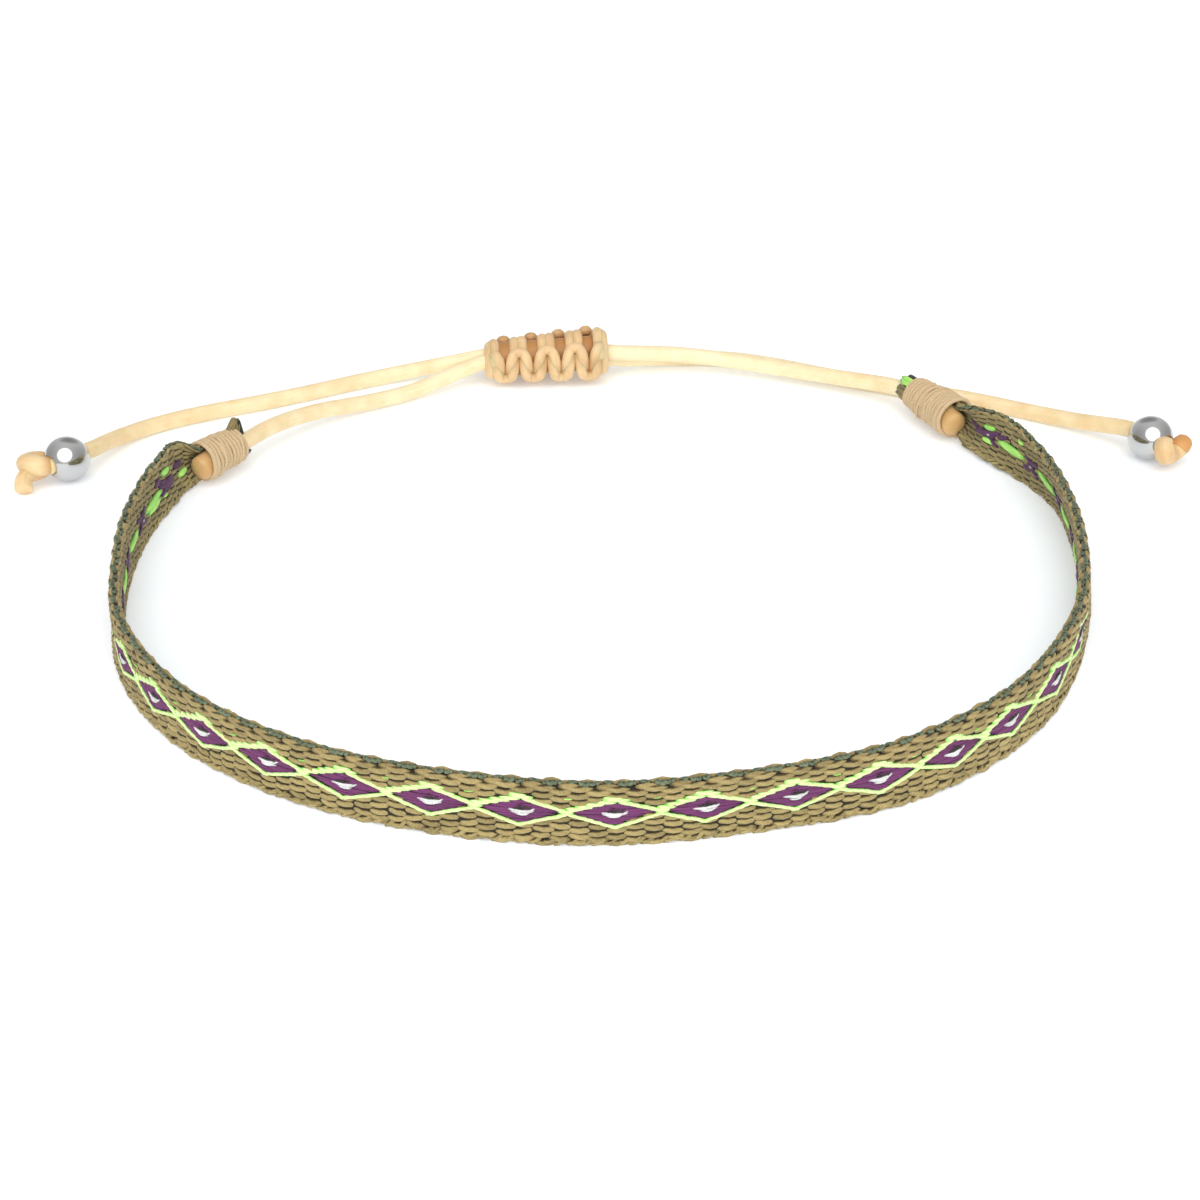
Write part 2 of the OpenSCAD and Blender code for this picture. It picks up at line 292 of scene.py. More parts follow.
# %% [markdown]
# ## Shader groups
# Two effects are shared, so each is one node group that every material of its kind uses with its
# own values. *Spun thread* shades each thread by its own tone, paints shade where it dives under
# its neighbours and in the grooves between its plies, and raises fine twisted plies. *Satin* is
# smooth, with fine lines along the cord. A picture of cloth would be flatter and would show its
# seams from near by.

# %% Shader group helpers
def new_group(name, inputs, outputs):
    tree = bpy.data.node_groups.new(name, "ShaderNodeTree")
    for kind, label, value in inputs:
        socket = tree.interface.new_socket(label, in_out="INPUT", socket_type=f"NodeSocket{kind}")
        socket.default_value = value
    for kind, label in outputs:
        tree.interface.new_socket(label, in_out="OUTPUT", socket_type=f"NodeSocket{kind}")
    return tree, tree.nodes.new("NodeGroupInput").outputs, tree.nodes.new("NodeGroupOutput").inputs


def mixed(tree, factor, a, b):
    node = tree.nodes.new("ShaderNodeMix")
    node.data_type = "RGBA"
    for slot, value in zip((node.inputs[0], node.inputs[6], node.inputs[7]), (factor, a, b)):
        tree.links.new(value, slot)
    return node.outputs[2]


def attribute(tree, name):
    return wire(tree, "Attribute", attribute_name=name).outputs["Fac"]


def surface_places(tree):
    """Where a point lies on the object, and its two UV numbers."""
    uv = wire(tree, "SeparateXYZ", wire(tree, "UVMap", uv_map="UVMap").outputs[0]).outputs
    return wire(tree, "TexCoord").outputs["Object"], uv["X"], uv["Y"]


def towards_rim(tree, value):
    """0 in the middle of a float, and smoothly up to 1 at its rim."""
    return wire(tree, "MapRange", value, 0.55, 1.0, 0.0, 1.0, interpolation_type="SMOOTHSTEP").outputs[0]


def weighted(tree, *pairs):
    """The sum of values times weights, held between 0 and 1."""
    parts = [maths(tree, "MULTIPLY", value, weight) for value, weight in pairs]
    total = parts[0]
    for part in parts[1:]:
        total = maths(tree, "ADD", total, part, clamp=part == parts[-1])
    return total


# %% Spun thread group
def build_spun_thread():
    tree, given, out = new_group(
        "spun thread",
        [("Color", "Colour", (0.5, 0.5, 0.5, 1)), ("Color", "Shade", (0.1, 0.1, 0.1, 1)),
         ("Float", "Tone spread", 0.35), ("Float", "End shade", 0.7), ("Float", "Edge shade", 1.2),
         ("Float", "Plies", 3.0), ("Float", "Slant", 2.0), ("Float", "Fuzz scale", 9000.0)],
        [("Color", "Colour"), ("Float", "Height")])
    place, around, length = surface_places(tree)
    turns = maths(tree, "ADD", maths(tree, "MULTIPLY", around, given["Plies"]),
                  maths(tree, "MULTIPLY", length, given["Slant"]))
    wave = maths(tree, "SINE", maths(tree, "MULTIPLY", turns, 2 * pi))
    ply = maths(tree, "ADD", maths(tree, "MULTIPLY", wave, 0.5), 0.5)
    fuzz = wire(tree, "TexNoise", place, None, given["Fuzz scale"], 2.0, 0.6).outputs["Fac"]
    along, across = (maths(tree, "ABSOLUTE", attribute(tree, name)) for name in ("along", "across"))
    edge = maths(tree, "MULTIPLY", towards_rim(tree, across), maths(tree, "SUBTRACT", 1.0, along))
    # painted shade: darker at a float's ends and, in its middle, at its rims, where it dives under its
    # neighbours, and in the grooves between its plies; tone and fuzz are the thread's own unevenness
    fuzz_dark, groove_shade = 0.9, 0.16
    dark = weighted(tree, (towards_rim(tree, along), given["End shade"]), (edge, given["Edge shade"]),
                    (attribute(tree, "tone"), given["Tone spread"]),
                    (maths(tree, "SUBTRACT", 0.55, fuzz), fuzz_dark),
                    (maths(tree, "SUBTRACT", 1.0, ply), groove_shade))
    tree.links.new(mixed(tree, dark, given["Colour"], given["Shade"]), out["Colour"])
    height = maths(tree, "ADD", maths(tree, "MULTIPLY", ply, 0.6), maths(tree, "MULTIPLY", fuzz, 0.8))
    tree.links.new(height, out["Height"])
    return tree


spun_thread = build_spun_thread()
print("spun thread", len(spun_thread.nodes), "nodes")


# %% Satin group
def build_satin():
    tree, given, out = new_group(
        "satin",
        [("Color", "Colour", (0.9, 0.8, 0.6, 1)), ("Color", "Shade", (0.7, 0.5, 0.3, 1)),
         ("Float", "Line count", 22.0), ("Float", "Patch scale", 600.0), ("Float", "Tone spread", 0.0)],
        [("Color", "Colour"), ("Float", "Roughness"), ("Float", "Height")])
    place, length, around = surface_places(tree)
    spread = wire(tree, "CombineXYZ", maths(tree, "MULTIPLY", length, 0.35),
                  maths(tree, "MULTIPLY", around, given["Line count"]), 0.0).outputs[0]
    lines = wire(tree, "TexNoise", spread, None, 1.0, 2.0, 0.5).outputs["Fac"]
    patch = wire(tree, "TexNoise", place, None, given["Patch scale"], 2.0, 0.5).outputs["Fac"]
    # the tone attribute brings painted shade on the slider and the knots, and painted light along the cords
    shade = weighted(tree, (maths(tree, "SUBTRACT", patch, 0.4), 1.0),
                     (maths(tree, "SUBTRACT", lines, 0.5), 0.7),
                     (attribute(tree, "tone"), given["Tone spread"]))
    tree.links.new(mixed(tree, shade, given["Colour"], given["Shade"]), out["Colour"])
    tree.links.new(maths(tree, "ADD", 0.34, maths(tree, "MULTIPLY", lines, 0.2)), out["Roughness"])
    tree.links.new(lines, out["Height"])
    return tree


satin = build_satin()
print("satin", len(satin.nodes), "nodes")


# %% Material helpers
def linear(*rgb):
    """An 8-bit colour as the linear numbers that shaders use, with an alpha of one."""
    shares = [c / 255 for c in rgb]
    return (*(((c + 0.055) / 1.055) ** 2.4 if c > 0.04045 else c / 12.92 for c in shares), 1.0)


def spaced(values):
    """Keyword names as socket names: End_shade is the socket "End shade"."""
    return {key.replace("_", " "): value for key, value in values.items()}


def grouped_material(name, group, values, bump, depth, **sockets):
    """A Principled material whose colour and relief come from a shader group."""
    mat = bpy.data.materials.new(name)
    mat.use_nodes = True
    tree = mat.node_tree
    shader = tree.nodes["Principled BSDF"]
    node = tree.nodes.new("ShaderNodeGroup")
    node.node_tree = group
    for key, value in values.items():
        node.inputs[key].default_value = value
    for key, value in spaced(sockets).items():
        shader.inputs[key].default_value = value
    relief = wire(tree, "Bump", bump, depth)
    tree.links.new(node.outputs["Height"], relief.inputs["Height"])
    tree.links.new(relief.outputs[0], shader.inputs["Normal"])
    tree.links.new(node.outputs["Colour"], shader.inputs["Base Color"])
    if "Roughness" in node.outputs:
        tree.links.new(node.outputs["Roughness"], shader.inputs["Roughness"])
    return mat


def thread_material(name, color, shade, **values):
    values = {"Colour": linear(*color), "Shade": linear(*shade), **spaced(values)}
    return grouped_material(name, spun_thread, values, bump=0.7, depth=0.04 * MM, Roughness=0.85,
                            Sheen_Weight=0.10, Sheen_Roughness=0.5)


def satin_material(name, color, shade, **values):
    values = {"Colour": linear(*color), "Shade": linear(*shade), **spaced(values)}
    return grouped_material(name, satin, values, bump=0.25, depth=0.03 * MM, Sheen_Weight=0.15,
                            Sheen_Roughness=0.35, Subsurface_Weight=0.3, Subsurface_Scale=0.6 * MM)


# %% Materials
olive = thread_material("olive cotton", (184, 164, 108), (72, 60, 28), End_shade=0.35)
# painted shade: these materials are darker copies of the front ones, for the inner face, the cut ends and the
# small neon glints
olive_shaded = thread_material("olive cotton painted shade", (162, 146, 96), (62, 56, 32), End_shade=0.32,
                             Edge_shade=0.9)
olive_edge = thread_material("olive cotton edge", (178, 156, 102), (80, 66, 34), End_shade=0.5,
                             Edge_shade=0.0)
sage = thread_material("sage weft", (124, 134, 104), (50, 62, 44), End_shade=0.5, Edge_shade=0.7)
# painted highlight: the neon's pale colour stands for glare in the middle of each float; the green at its
# ends and rims is the thread's own colour
neon = thread_material("neon thread", (238, 248, 184), (118, 216, 62), End_shade=0.7, Edge_shade=0.9,
                       Tone_spread=0.15)
neon_shaded = thread_material("neon thread painted shade", (192, 244, 126), (92, 180, 58), End_shade=0.6,
                            Edge_shade=1.0)
purple = thread_material("purple thread", (126, 57, 112), (58, 20, 52), Tone_spread=0.35, End_shade=0.4,
                         Edge_shade=0.6)
purple_shaded = thread_material("purple thread painted shade", (92, 48, 88), (46, 26, 46))
silver = thread_material("silver thread", (240, 240, 238), (104, 106, 102), Tone_spread=0.2, End_shade=0.4)
silver_shaded = thread_material("silver thread painted shade", (196, 190, 182), (116, 112, 104))
dark_weft = thread_material("dark weft", (58, 64, 50), (24, 26, 20))
# painted shade: the band core is dark like the gaps between the floats, not like the weft it stands for
core = thread_material("band core", (44, 38, 20), (20, 16, 8))
binding = thread_material("binding thread", (214, 188, 148), (150, 116, 76), Plies=2.0, Slant=4.0,
                          End_shade=0.0, Edge_shade=0.0, Tone_spread=0.3)
cord_satin = satin_material("satin cord", (248, 232, 192), (226, 192, 134), Tone_spread=0.42)
slider_satin = satin_material("slider satin", (230, 198, 150), (176, 126, 68), Tone_spread=0.85)
# painted shade: the slider's inside is brown like its deep hollows, though the cords there are cream
slider_core_satin = satin_material("slider inside painted shade", (184, 132, 72), (156, 106, 54))
knot_satin = satin_material("knot satin", (236, 210, 162), (204, 152, 88), Tone_spread=0.7)
end_satin = satin_material("cut cord end", (214, 174, 116), (180, 128, 70))
burnt_satin = satin_material("melted cord end", (210, 156, 92), (176, 116, 58))
print("materials", len(bpy.data.materials))

# %% [markdown]
# ## Cord routes
# The satin cords are real cords of a fixed length, so each one follows the route that its CAD
# solid takes, and the points are the same as in the CAD source. They rest on the table, bend
# under their own weight, and turn 135 degrees round each other inside the slider. A simulation
# could drop them anywhere, while a route of points lays them as they lie in the photograph.

# %% Sizes and places
cord_r = 0.75
axis_z = 2.2  # the height of a binding's axis
cord_shift = 0.25  # how far the cord lies off that axis, towards the band's inner face
cord_start, cord_lead = 0.6, 0.4  # it starts inside the binding, and is straight a little past it
slider_len, slider_h, slider_w = 12.0, 4.5, 5.8
slider_at, slider_yaw, slider_z = np.array([-5.9, 36.05]), 5.2, slider_h / 2
pair_r, twist, twist_steps = 0.8, 135.0, 6
bead_r, bead_len = 2.0, 3.5
left_bead_at, left_bead_yaw = np.array([-47.4, 13.8]), 230.0
right_bead_at, right_bead_yaw = np.array([48.8, 18.1]), -56.0
left_wrap_at, left_wrap_yaw, left_wrap_len = np.array([-35.5, 12.8]), 55.0, 4.7
right_wrap_at, right_wrap_yaw, right_wrap_len = np.array([32.1, 21.7]), 117.0, 6.4


def heading_of(yaw):
    return np.array([cos(radians(yaw)), sin(radians(yaw))])


def left_of(yaw):
    return np.array([-sin(radians(yaw)), cos(radians(yaw))])


left_inner, right_inner = -left_of(left_wrap_yaw), left_of(right_wrap_yaw)
print("slider", slider_len, "mm, cord", 2 * cord_r, "mm, bead", 2 * bead_r, "mm")


# %% Cord routes
def in_slider(side):
    """The twelve millimetres inside the slider. side is 1 for the right cord, -1 for the left."""
    points = []
    for k in range(twist_steps + 1):
        a = radians(twist) * k / twist_steps
        along = slider_len * (k / twist_steps - 0.5)
        at = slider_at + along * heading_of(slider_yaw) + side * pair_r * cos(a) * left_of(slider_yaw)
        points.append([*at, slider_z + side * pair_r * sin(a)])
    return points


def bead_hole(at, yaw):
    return [[*(at - bead_len / 2 * heading_of(yaw)), bead_r], [*(at + bead_r * heading_of(yaw)), bead_r]]


def cord_in_wrap(at, yaw, inner, along):
    return [*(at + along * heading_of(yaw) + cord_shift * inner), axis_z]


left_cord_route = [
    cord_in_wrap(left_wrap_at, left_wrap_yaw, left_inner, left_wrap_len - cord_start),
    cord_in_wrap(left_wrap_at, left_wrap_yaw, left_inner, left_wrap_len + cord_lead),
    [-30.5, 20.2, 2.1], [-28.6, 22.8, 1.85], [-26.4, 25.2, 1.5], [-24.0, 27.1, 1.15], [-21.4, 29.0, 0.9],
    [-18.7, 30.7, 0.95], [-16.2, 32.3, 1.35], [-13.9, 33.8, 1.85],
    *in_slider(-1),
    [1.8, 37.7, 1.35], [4.2, 38.6, 1.05], [7.2, 39.3, 0.8], [10.2, 39.4, 0.75], [13.2, 38.9, 0.75],
    [16.2, 37.8, 0.75], [19.2, 36.3, 0.75], [22.0, 34.8, 0.75], [24.9, 33.4, 0.75], [27.8, 32.1, 0.75],
    [30.6, 31.0, 0.75], [33.4, 29.9, 0.75], [36.2, 28.5, 0.75], [38.8, 27.0, 0.75], [41.3, 25.4, 0.85],
    [43.5, 23.7, 1.1], [45.3, 22.1, 1.5], [46.8, 20.7, 1.85],
    *bead_hole(right_bead_at, right_bead_yaw)]
right_cord_route = [
    cord_in_wrap(right_wrap_at, right_wrap_yaw, right_inner, right_wrap_len - cord_start),
    cord_in_wrap(right_wrap_at, right_wrap_yaw, right_inner, right_wrap_len + cord_lead),
    [27.2, 29.5, 2.05], [25.2, 31.0, 1.8], [22.6, 32.6, 1.55], [19.6, 34.1, 1.45], [16.5, 35.4, 1.45],
    [13.4, 36.5, 1.55], [10.3, 37.1, 1.75], [7.2, 37.2, 2.05], [4.2, 36.8, 2.35], [1.9, 36.3, 2.6],
    *in_slider(1)[::-1],
    [-14.4, 36.2, 1.75], [-16.9, 35.9, 1.35], [-19.5, 35.4, 1.0], [-22.1, 34.5, 0.8], [-24.8, 33.1, 0.75],
    [-27.5, 31.5, 0.75], [-30.3, 29.9, 0.75], [-33.2, 28.4, 0.75], [-36.1, 27.0, 0.75], [-38.9, 25.5, 0.75],
    [-41.3, 23.9, 0.75], [-43.2, 21.9, 0.9], [-44.5, 19.7, 1.2], [-45.3, 17.5, 1.6], [-45.7, 16.0, 1.9],
    *bead_hole(left_bead_at, left_bead_yaw)]


# %% The two cords
cord_step, cord_sides = 0.35, 20
# painted light: a highlight makes the cords palest beside the slider, and they get darker towards the beads
painted_highlight_to, painted_highlight_gone_at = 12, 42  # the cords are palest beside the slider, and darker towards the beads


def make_cord(name, route):
    path = smooth_path(np.array(route) * MM, cord_step * MM)
    verts, faces, uvs = tube_mesh(path, cord_r * MM, cord_sides, dome=0.3)
    # painted light: paler beside the slider, darker towards the beads
    painted_fade = np.interp(np.abs(path[:, 0]) / MM, [painted_highlight_to, painted_highlight_gone_at], [0, 1])
    cord = mesh_object(name, verts, faces, cord_satin, uvs, on_rings(painted_fade, cord_sides))
    print(name, "length", round(path_length(path) / MM, 1), "mm,", len(faces), "faces")
    return cord, path


left_cord, left_cord_path = make_cord("left_satin_cord", left_cord_route)
right_cord, right_cord_path = make_cord("right_satin_cord", right_cord_route)

# %% [markdown]
# ## The band as a flat strip
# Weaving is easier flat. A point of the flat band has three numbers in millimetres: how far along
# it lies (s), how high up its width (v), and how far out of its middle surface (n). A Curve
# modifier could bend flat weave round the loop, but it knows no curl or lean. So this step turns
# the three numbers into a place on the standing, curved and slightly twisted band of the CAD
# model, with the same rows of sizes as the CAD source.

# %% Band rows
band_w, band_t = 4.5, 1.0
gathered_r, gathered_t, gathered_w = 1.17, 0.66, 4.1  # inside a binding the band is rolled round its cord
gathered_curl = gathered_w / gathered_r * 180 / pi
left_in_wrap = left_wrap_at - gathered_r * left_inner
right_in_wrap = right_wrap_at - gathered_r * right_inner
band_rows = np.array([  # x, y, lean, curl, thickness, width
    [*left_in_wrap, 0, gathered_curl, gathered_t, gathered_w],
    [-37.1, 12.2, 5, 52, 0.90 * band_t, 0.98 * band_w],
    [-37.9, 8.8, 1, 18, band_t, band_w],
    [-38.6, 3.4, -4, 4, band_t, band_w],
    [-38.7, -1.6, -5, 0, band_t, band_w],
    [-38.0, -8.6, -5, 0, band_t, band_w],
    [-35.9, -17.6, 0, 0, band_t, band_w],
    [-29.8, -27.2, 0, 0, band_t, band_w],
    [-20.6, -34.0, 0, 0, band_t, band_w],
    [-10.5, -37.5, 0, 0, band_t, band_w],
    [-0.6, -38.7, 0, 0, band_t, band_w],
    [9.4, -37.3, 0, 0, band_t, band_w],
    [19.2, -34.2, 0, 0, band_t, band_w],
    [28.4, -27.1, 0, 0, band_t, band_w],
    [34.5, -17.1, -4, 0, band_t, band_w],
    [37.4, -6.6, -11, 0, band_t, band_w],
    [38.3, 1.9, -15, 0, band_t, band_w],
    [38.1, 8.4, -17, 3, band_t, band_w],
    [37.0, 12.9, -9, 10, band_t, band_w],
    [34.9, 17.5, 5, 36, band_t, band_w],
    [33.8, 19.8, 0, 90, 0.90 * band_t, 0.97 * band_w],
    [*right_in_wrap, 0, gathered_curl, gathered_t, gathered_w]])


def joined_rows():
    """The rows joined by the CAD source's cubics, every quarter of a millimetre."""
    gaps = np.linalg.norm(np.diff(band_rows[:, :2], axis=0), axis=1)
    rates = np.diff(band_rows, axis=0) / gaps[:, None]
    inner = (rates[1:] * gaps[:-1, None] + rates[:-1] * gaps[1:, None]) / (gaps[:-1] + gaps[1:])[:, None]
    headings = (-heading_of(left_wrap_yaw), heading_of(right_wrap_yaw))
    first, last = ([*heading, 0, 0, 0, 0] for heading in headings)
    tangents = np.vstack([first, inner, last])
    rows = []
    for i, gap in enumerate(gaps):
        u = np.linspace(0, 1, int(gap / 0.25) + 2)[:-1, None]
        rows.append((2 * u**3 - 3 * u**2 + 1) * band_rows[i] + (u**3 - 2 * u**2 + u) * gap * tangents[i]
                    + (3 * u**2 - 2 * u**3) * band_rows[i + 1] + (u**3 - u**2) * gap * tangents[i + 1])
    return np.vstack(rows + [band_rows[-1:]])


# %% Band path
bound = 8.0  # straight lengths inside and beyond the two bindings
# the soft weave leans a little differently from the CAD solid, as its outline in the photograph
# shows: places along the band, and degrees outwards at its top
softer_lean = ([0, 5, 14, 27, 36, 66, 78, 88, 100, 112, 122, 142, 152, 157, 160],
               [0, 8.5, 6.5, 0, -7.5, -8, -3, -4.5, -12, -10, 2, 2, 7, 7, 0])

band_path = joined_rows()
start, end = band_path[0].copy(), band_path[-1].copy()
start[:2] += bound * heading_of(left_wrap_yaw)
end[:2] += bound * heading_of(right_wrap_yaw)
band_path = np.vstack([start, band_path, end])
path_s = np.r_[0, np.cumsum(np.linalg.norm(np.diff(band_path[:, :2], axis=0), axis=1))] - bound
band_length = path_s[-1] - bound
band_path[:, 2] += np.interp(path_s, *softer_lean)
step = unit(np.gradient(band_path[:, :2], axis=0))
path_yaw = np.unwrap(np.arctan2(step[:, 1], step[:, 0]))
print("band length between the bindings", round(band_length, 1), "mm")


# %% From flat to standing
def curl_and_lean(v, n, lean, curl, thick, width):
    """The place of a flat point in its own section: u outwards, w upwards."""
    curl = np.maximum(curl, 0.1)
    r = width / np.radians(curl)
    a = v / band_w * width / r
    u = (r + n * thick) * np.cos(a) - r
    w = (r + n * thick) * np.sin(a)
    lean = np.radians(lean)
    return u * np.cos(lean) + w * np.sin(lean), w * np.cos(lean) - u * np.sin(lean)


corners = np.array([[v, n] for v in np.linspace(-0.5, 0.5, 9) * band_w for n in (-0.5, 0.5)])
lowest = np.array([curl_and_lean(corners[:, 0], corners[:, 1], *row[2:])[1].min() for row in band_path])
path_lift = np.maximum(axis_z, -lowest)


def on_band(points):
    """Flat points (along, up, out) in millimetres to places in metres."""
    s, v, n = np.asarray(points, dtype=float).T
    x, y, lean, curl, thick, width = (np.interp(s, path_s, band_path[:, k]) for k in range(6))
    yaw = np.interp(s, path_s, path_yaw)
    u, w = curl_and_lean(v, n, lean, curl, thick, width)
    z = np.maximum(np.interp(s, path_s, path_lift) + w, 0.0)  # the lowest stitches press flat on the table
    return np.stack([x + np.sin(yaw) * u, y - np.cos(yaw) * u, z], axis=1) * MM


print("front of the band at", on_band([[band_length / 2, 0, 0.5]])[0].round(4))

# %% [markdown]
# ## Thread floats by Geometry Nodes
# In a weave each thread shows as short floats that rise over a cross thread and dive again.
# Thousands of them could be modelled by hand or by an array, but each has its own size and turn.
# One node tree makes them all: it puts a rounded thread float on every point that it is given,
# with the point's own size and turn, bends its ends down, and turns the lot into one plain mesh.

# %% Geometry Nodes helpers
def geo_tree(name, inputs):
    tree = bpy.data.node_groups.new(name, "GeometryNodeTree")
    tree.interface.new_socket("Geometry", in_out="INPUT", socket_type="NodeSocketGeometry")
    for kind, label, value in inputs:
        socket = tree.interface.new_socket(label, in_out="INPUT", socket_type=f"NodeSocket{kind}")
        if value is not None:
            socket.default_value = value
    tree.interface.new_socket("Geometry", in_out="OUTPUT", socket_type="NodeSocketGeometry")
    return tree, tree.nodes.new("NodeGroupInput").outputs, tree.nodes.new("NodeGroupOutput").inputs


def put(tree, kind, links=None, **settings):
    """A node with named sockets: a link where a socket is given, else a value."""
    node = tree.nodes.new(kind)
    for key, value in settings.items():
        setattr(node, key, value)
    for key, value in (links or {}).items():
        slot = node.inputs[key]
        if isinstance(value, bpy.types.NodeSocket):
            tree.links.new(value, slot)
        else:
            slot.default_value = value
    return node


def do_vectors(tree, operation, links):
    return put(tree, "ShaderNodeVectorMath", links, operation=operation).outputs[0]


def named(tree, name, kind="FLOAT"):
    return put(tree, "GeometryNodeInputNamedAttribute", {"Name": name}, data_type=kind).outputs["Attribute"]


def stored(tree, geometry, name, value, kind="FLOAT", domain="POINT"):
    return put(tree, "GeometryNodeStoreNamedAttribute", {"Geometry": geometry, "Name": name, "Value": value},
               data_type=kind, domain=domain).outputs[0]


def moved(tree, geometry, **links):
    return put(tree, "GeometryNodeSetPosition", {"Geometry": geometry, **links}).outputs[0]


def turned(tree, geometry, **links):
    return put(tree, "GeometryNodeTransform", {"Geometry": geometry, **links}).outputs[0]


def combined(tree, **links):
    return put(tree, "ShaderNodeCombineXYZ", links).outputs[0]


def finished(tree, mesh, material, out):
    """Smooth shading and one material, at the end of a tree."""
    mesh = put(tree, "GeometryNodeSetShadeSmooth", {"Geometry": mesh, "Shade Smooth": True}).outputs[0]
    mesh = put(tree, "GeometryNodeSetMaterial", {"Geometry": mesh, "Material": material}).outputs[0]
    tree.links.new(mesh, out["Geometry"])


# %% Growing a mesh
def set_input(modifier, label, value):
    """A modifier's input is set by its socket's identifier."""
    for item in modifier.node_group.interface.items_tree:
        if item.item_type == "SOCKET" and item.in_out == "INPUT" and item.name == label:
            modifier[item.identifier] = value
            return
    raise KeyError(label)


def grown(name, base, tree, **values):
    """Runs a tree on a base mesh and returns the result as a plain mesh object."""
    base_obj = bpy.data.objects.new(name + "_base", base)
    bpy.context.scene.collection.objects.link(base_obj)
    modifier = base_obj.modifiers.new("grow", "NODES")
    modifier.node_group = tree
    for label, value in spaced(values).items():
        set_input(modifier, label, value)
    depsgraph = bpy.context.evaluated_depsgraph_get()
    evaluated = base_obj.evaluated_get(depsgraph)
    mesh = bpy.data.meshes.new_from_object(evaluated, preserve_all_data_layers=True, depsgraph=depsgraph)
    bpy.data.objects.remove(base_obj)
    mesh.name = name
    obj = bpy.data.objects.new(name, mesh)
    bpy.context.scene.collection.objects.link(obj)
    return obj


# %% The float tree
def float_shape(tree, given):
    """One float: a ball of radius 1 whose ends are fuller or finer, with its own numbers stored on it."""
    ball = put(tree, "GeometryNodeMeshUVSphere",
               {"Segments": given["Segments"], "Rings": given["Rings"], "Radius": 1.0})
    mesh = stored(tree, ball.outputs["Mesh"], "UVMap", ball.outputs["UV Map"], "FLOAT2", "CORNER")
    mesh = turned(tree, mesh, Rotation=(0, pi / 2, 0))
    position = put(tree, "GeometryNodeInputPosition").outputs[0]
    x, y, z = put(tree, "ShaderNodeSeparateXYZ", {0: position}).outputs
    mesh = stored(tree, mesh, "along", x)
    mesh = stored(tree, mesh, "across", y)
    squares = maths(tree, "ADD", maths(tree, "MULTIPLY", y, y), maths(tree, "MULTIPLY", z, z))
    reach = maths(tree, "MAXIMUM", maths(tree, "SQRT", squares), 0.02)
    fuller = maths(tree, "POWER", reach, maths(tree, "SUBTRACT", given["Fullness"], 1.0))
    shape = combined(tree, X=x, Y=maths(tree, "MULTIPLY", y, fuller), Z=maths(tree, "MULTIPLY", z, fuller))
    return moved(tree, mesh, Position=shape)


def uneven(tree, given):
    """Each point's own size and turn, with a little chance in both."""
    spread = put(tree, "FunctionNodeRandomValue", {0: (-1, -1, -1), 1: (1, 1, 1), "Seed": given["Seed"]},
                 data_type="FLOAT_VECTOR").outputs[0]
    share = do_vectors(tree, "ADD", {0: do_vectors(tree, "SCALE", {0: spread, "Scale": given["Size spread"]}),
                                     1: (1, 1, 1)})
    size = do_vectors(tree, "MULTIPLY", {0: named(tree, "size", "FLOAT_VECTOR"), 1: share})
    wobble = put(tree, "FunctionNodeRandomValue",
                 {2: maths(tree, "MULTIPLY", given["Wobble"], -1.0), 3: given["Wobble"],
                  "Seed": maths(tree, "ADD", given["Seed"], 7.0)}, data_type="FLOAT").outputs[1]
    return size, combined(tree, Z=maths(tree, "ADD", named(tree, "turn"), wobble))


def build_float_tree():
    tree, given, out = geo_tree("thread floats", [
        ("Int", "Segments", 8), ("Int", "Rings", 6), ("Float", "Fullness", 0.6), ("Float", "Wobble", 0.05),
        ("Float", "Size spread", 0.08), ("Int", "Seed", 3), ("Material", "Material", None)])
    size, turn = uneven(tree, given)
    points = put(tree, "GeometryNodeMeshToPoints", {"Mesh": given["Geometry"]}).outputs[0]
    instances = put(tree, "GeometryNodeInstanceOnPoints", {
        "Points": points, "Instance": float_shape(tree, given), "Rotation": turn, "Scale": size}).outputs[0]
    mesh = put(tree, "GeometryNodeRealizeInstances", {"Geometry": instances}).outputs[0]
    along = named(tree, "along")
    square = maths(tree, "MULTIPLY", along, along)
    drop = maths(tree, "MULTIPLY", named(tree, "dip"), -1.0)
    mesh = moved(tree, mesh, Offset=combined(tree, Y=maths(tree, "MULTIPLY", square, named(tree, "bend")),
                                             Z=maths(tree, "MULTIPLY", square, drop)))
    finished(tree, mesh, given["Material"], out)
    return tree


float_tree = build_float_tree()
print("float tree", len(float_tree.nodes), "nodes")

# %% Floats on a surface
rng = np.random.default_rng(11)


def floats(name, points, material, place=on_band, wobble=0.05, spread=0.08, fullness=0.6):
    """points: rows of along, up, out, half length, half width, half height, turn, bend, dip."""
    points = np.array(points, dtype=float)
    base = bpy.data.meshes.new(name)
    base.from_pydata(points[:, :3].tolist(), [], [])
    sizes = base.attributes.new("size", "FLOAT_VECTOR", "POINT").data
    sizes.foreach_set("vector", np.ascontiguousarray(points[:, 3:6], np.float32).ravel())
    columns = {"turn": np.radians(points[:, 6]), "bend": points[:, 7], "dip": points[:, 8],
               "tone": rng.random(len(points))}
    for label, column in columns.items():
        values = base.attributes.new(label, "FLOAT", "POINT").data
        values.foreach_set("value", np.ascontiguousarray(column, np.float32))
    obj = grown(name, base, float_tree, Fullness=fullness, Wobble=wobble, Size_spread=spread,
                Material=material)
    co = np.empty(len(obj.data.vertices) * 3)
    obj.data.vertices.foreach_get("co", co)
    obj.data.vertices.foreach_set("co", place(co.reshape(-1, 3)).ravel())
    obj.data.update()
    print(name, len(points), "floats,", len(obj.data.polygons), "faces")
    return obj


# %% [markdown]
# ## The weave
# The band is warp-faced: seventeen olive threads lie side by side, each going over and under the
# sage weft in turn, so neighbours are half a step apart like bricks. A picture on a flat strip
# would look printed, so every float is a form of its own. A core ribbon stands for the weft and
# the hidden threads; it is painted dark as shade, and shows only as dark gaps between the floats.

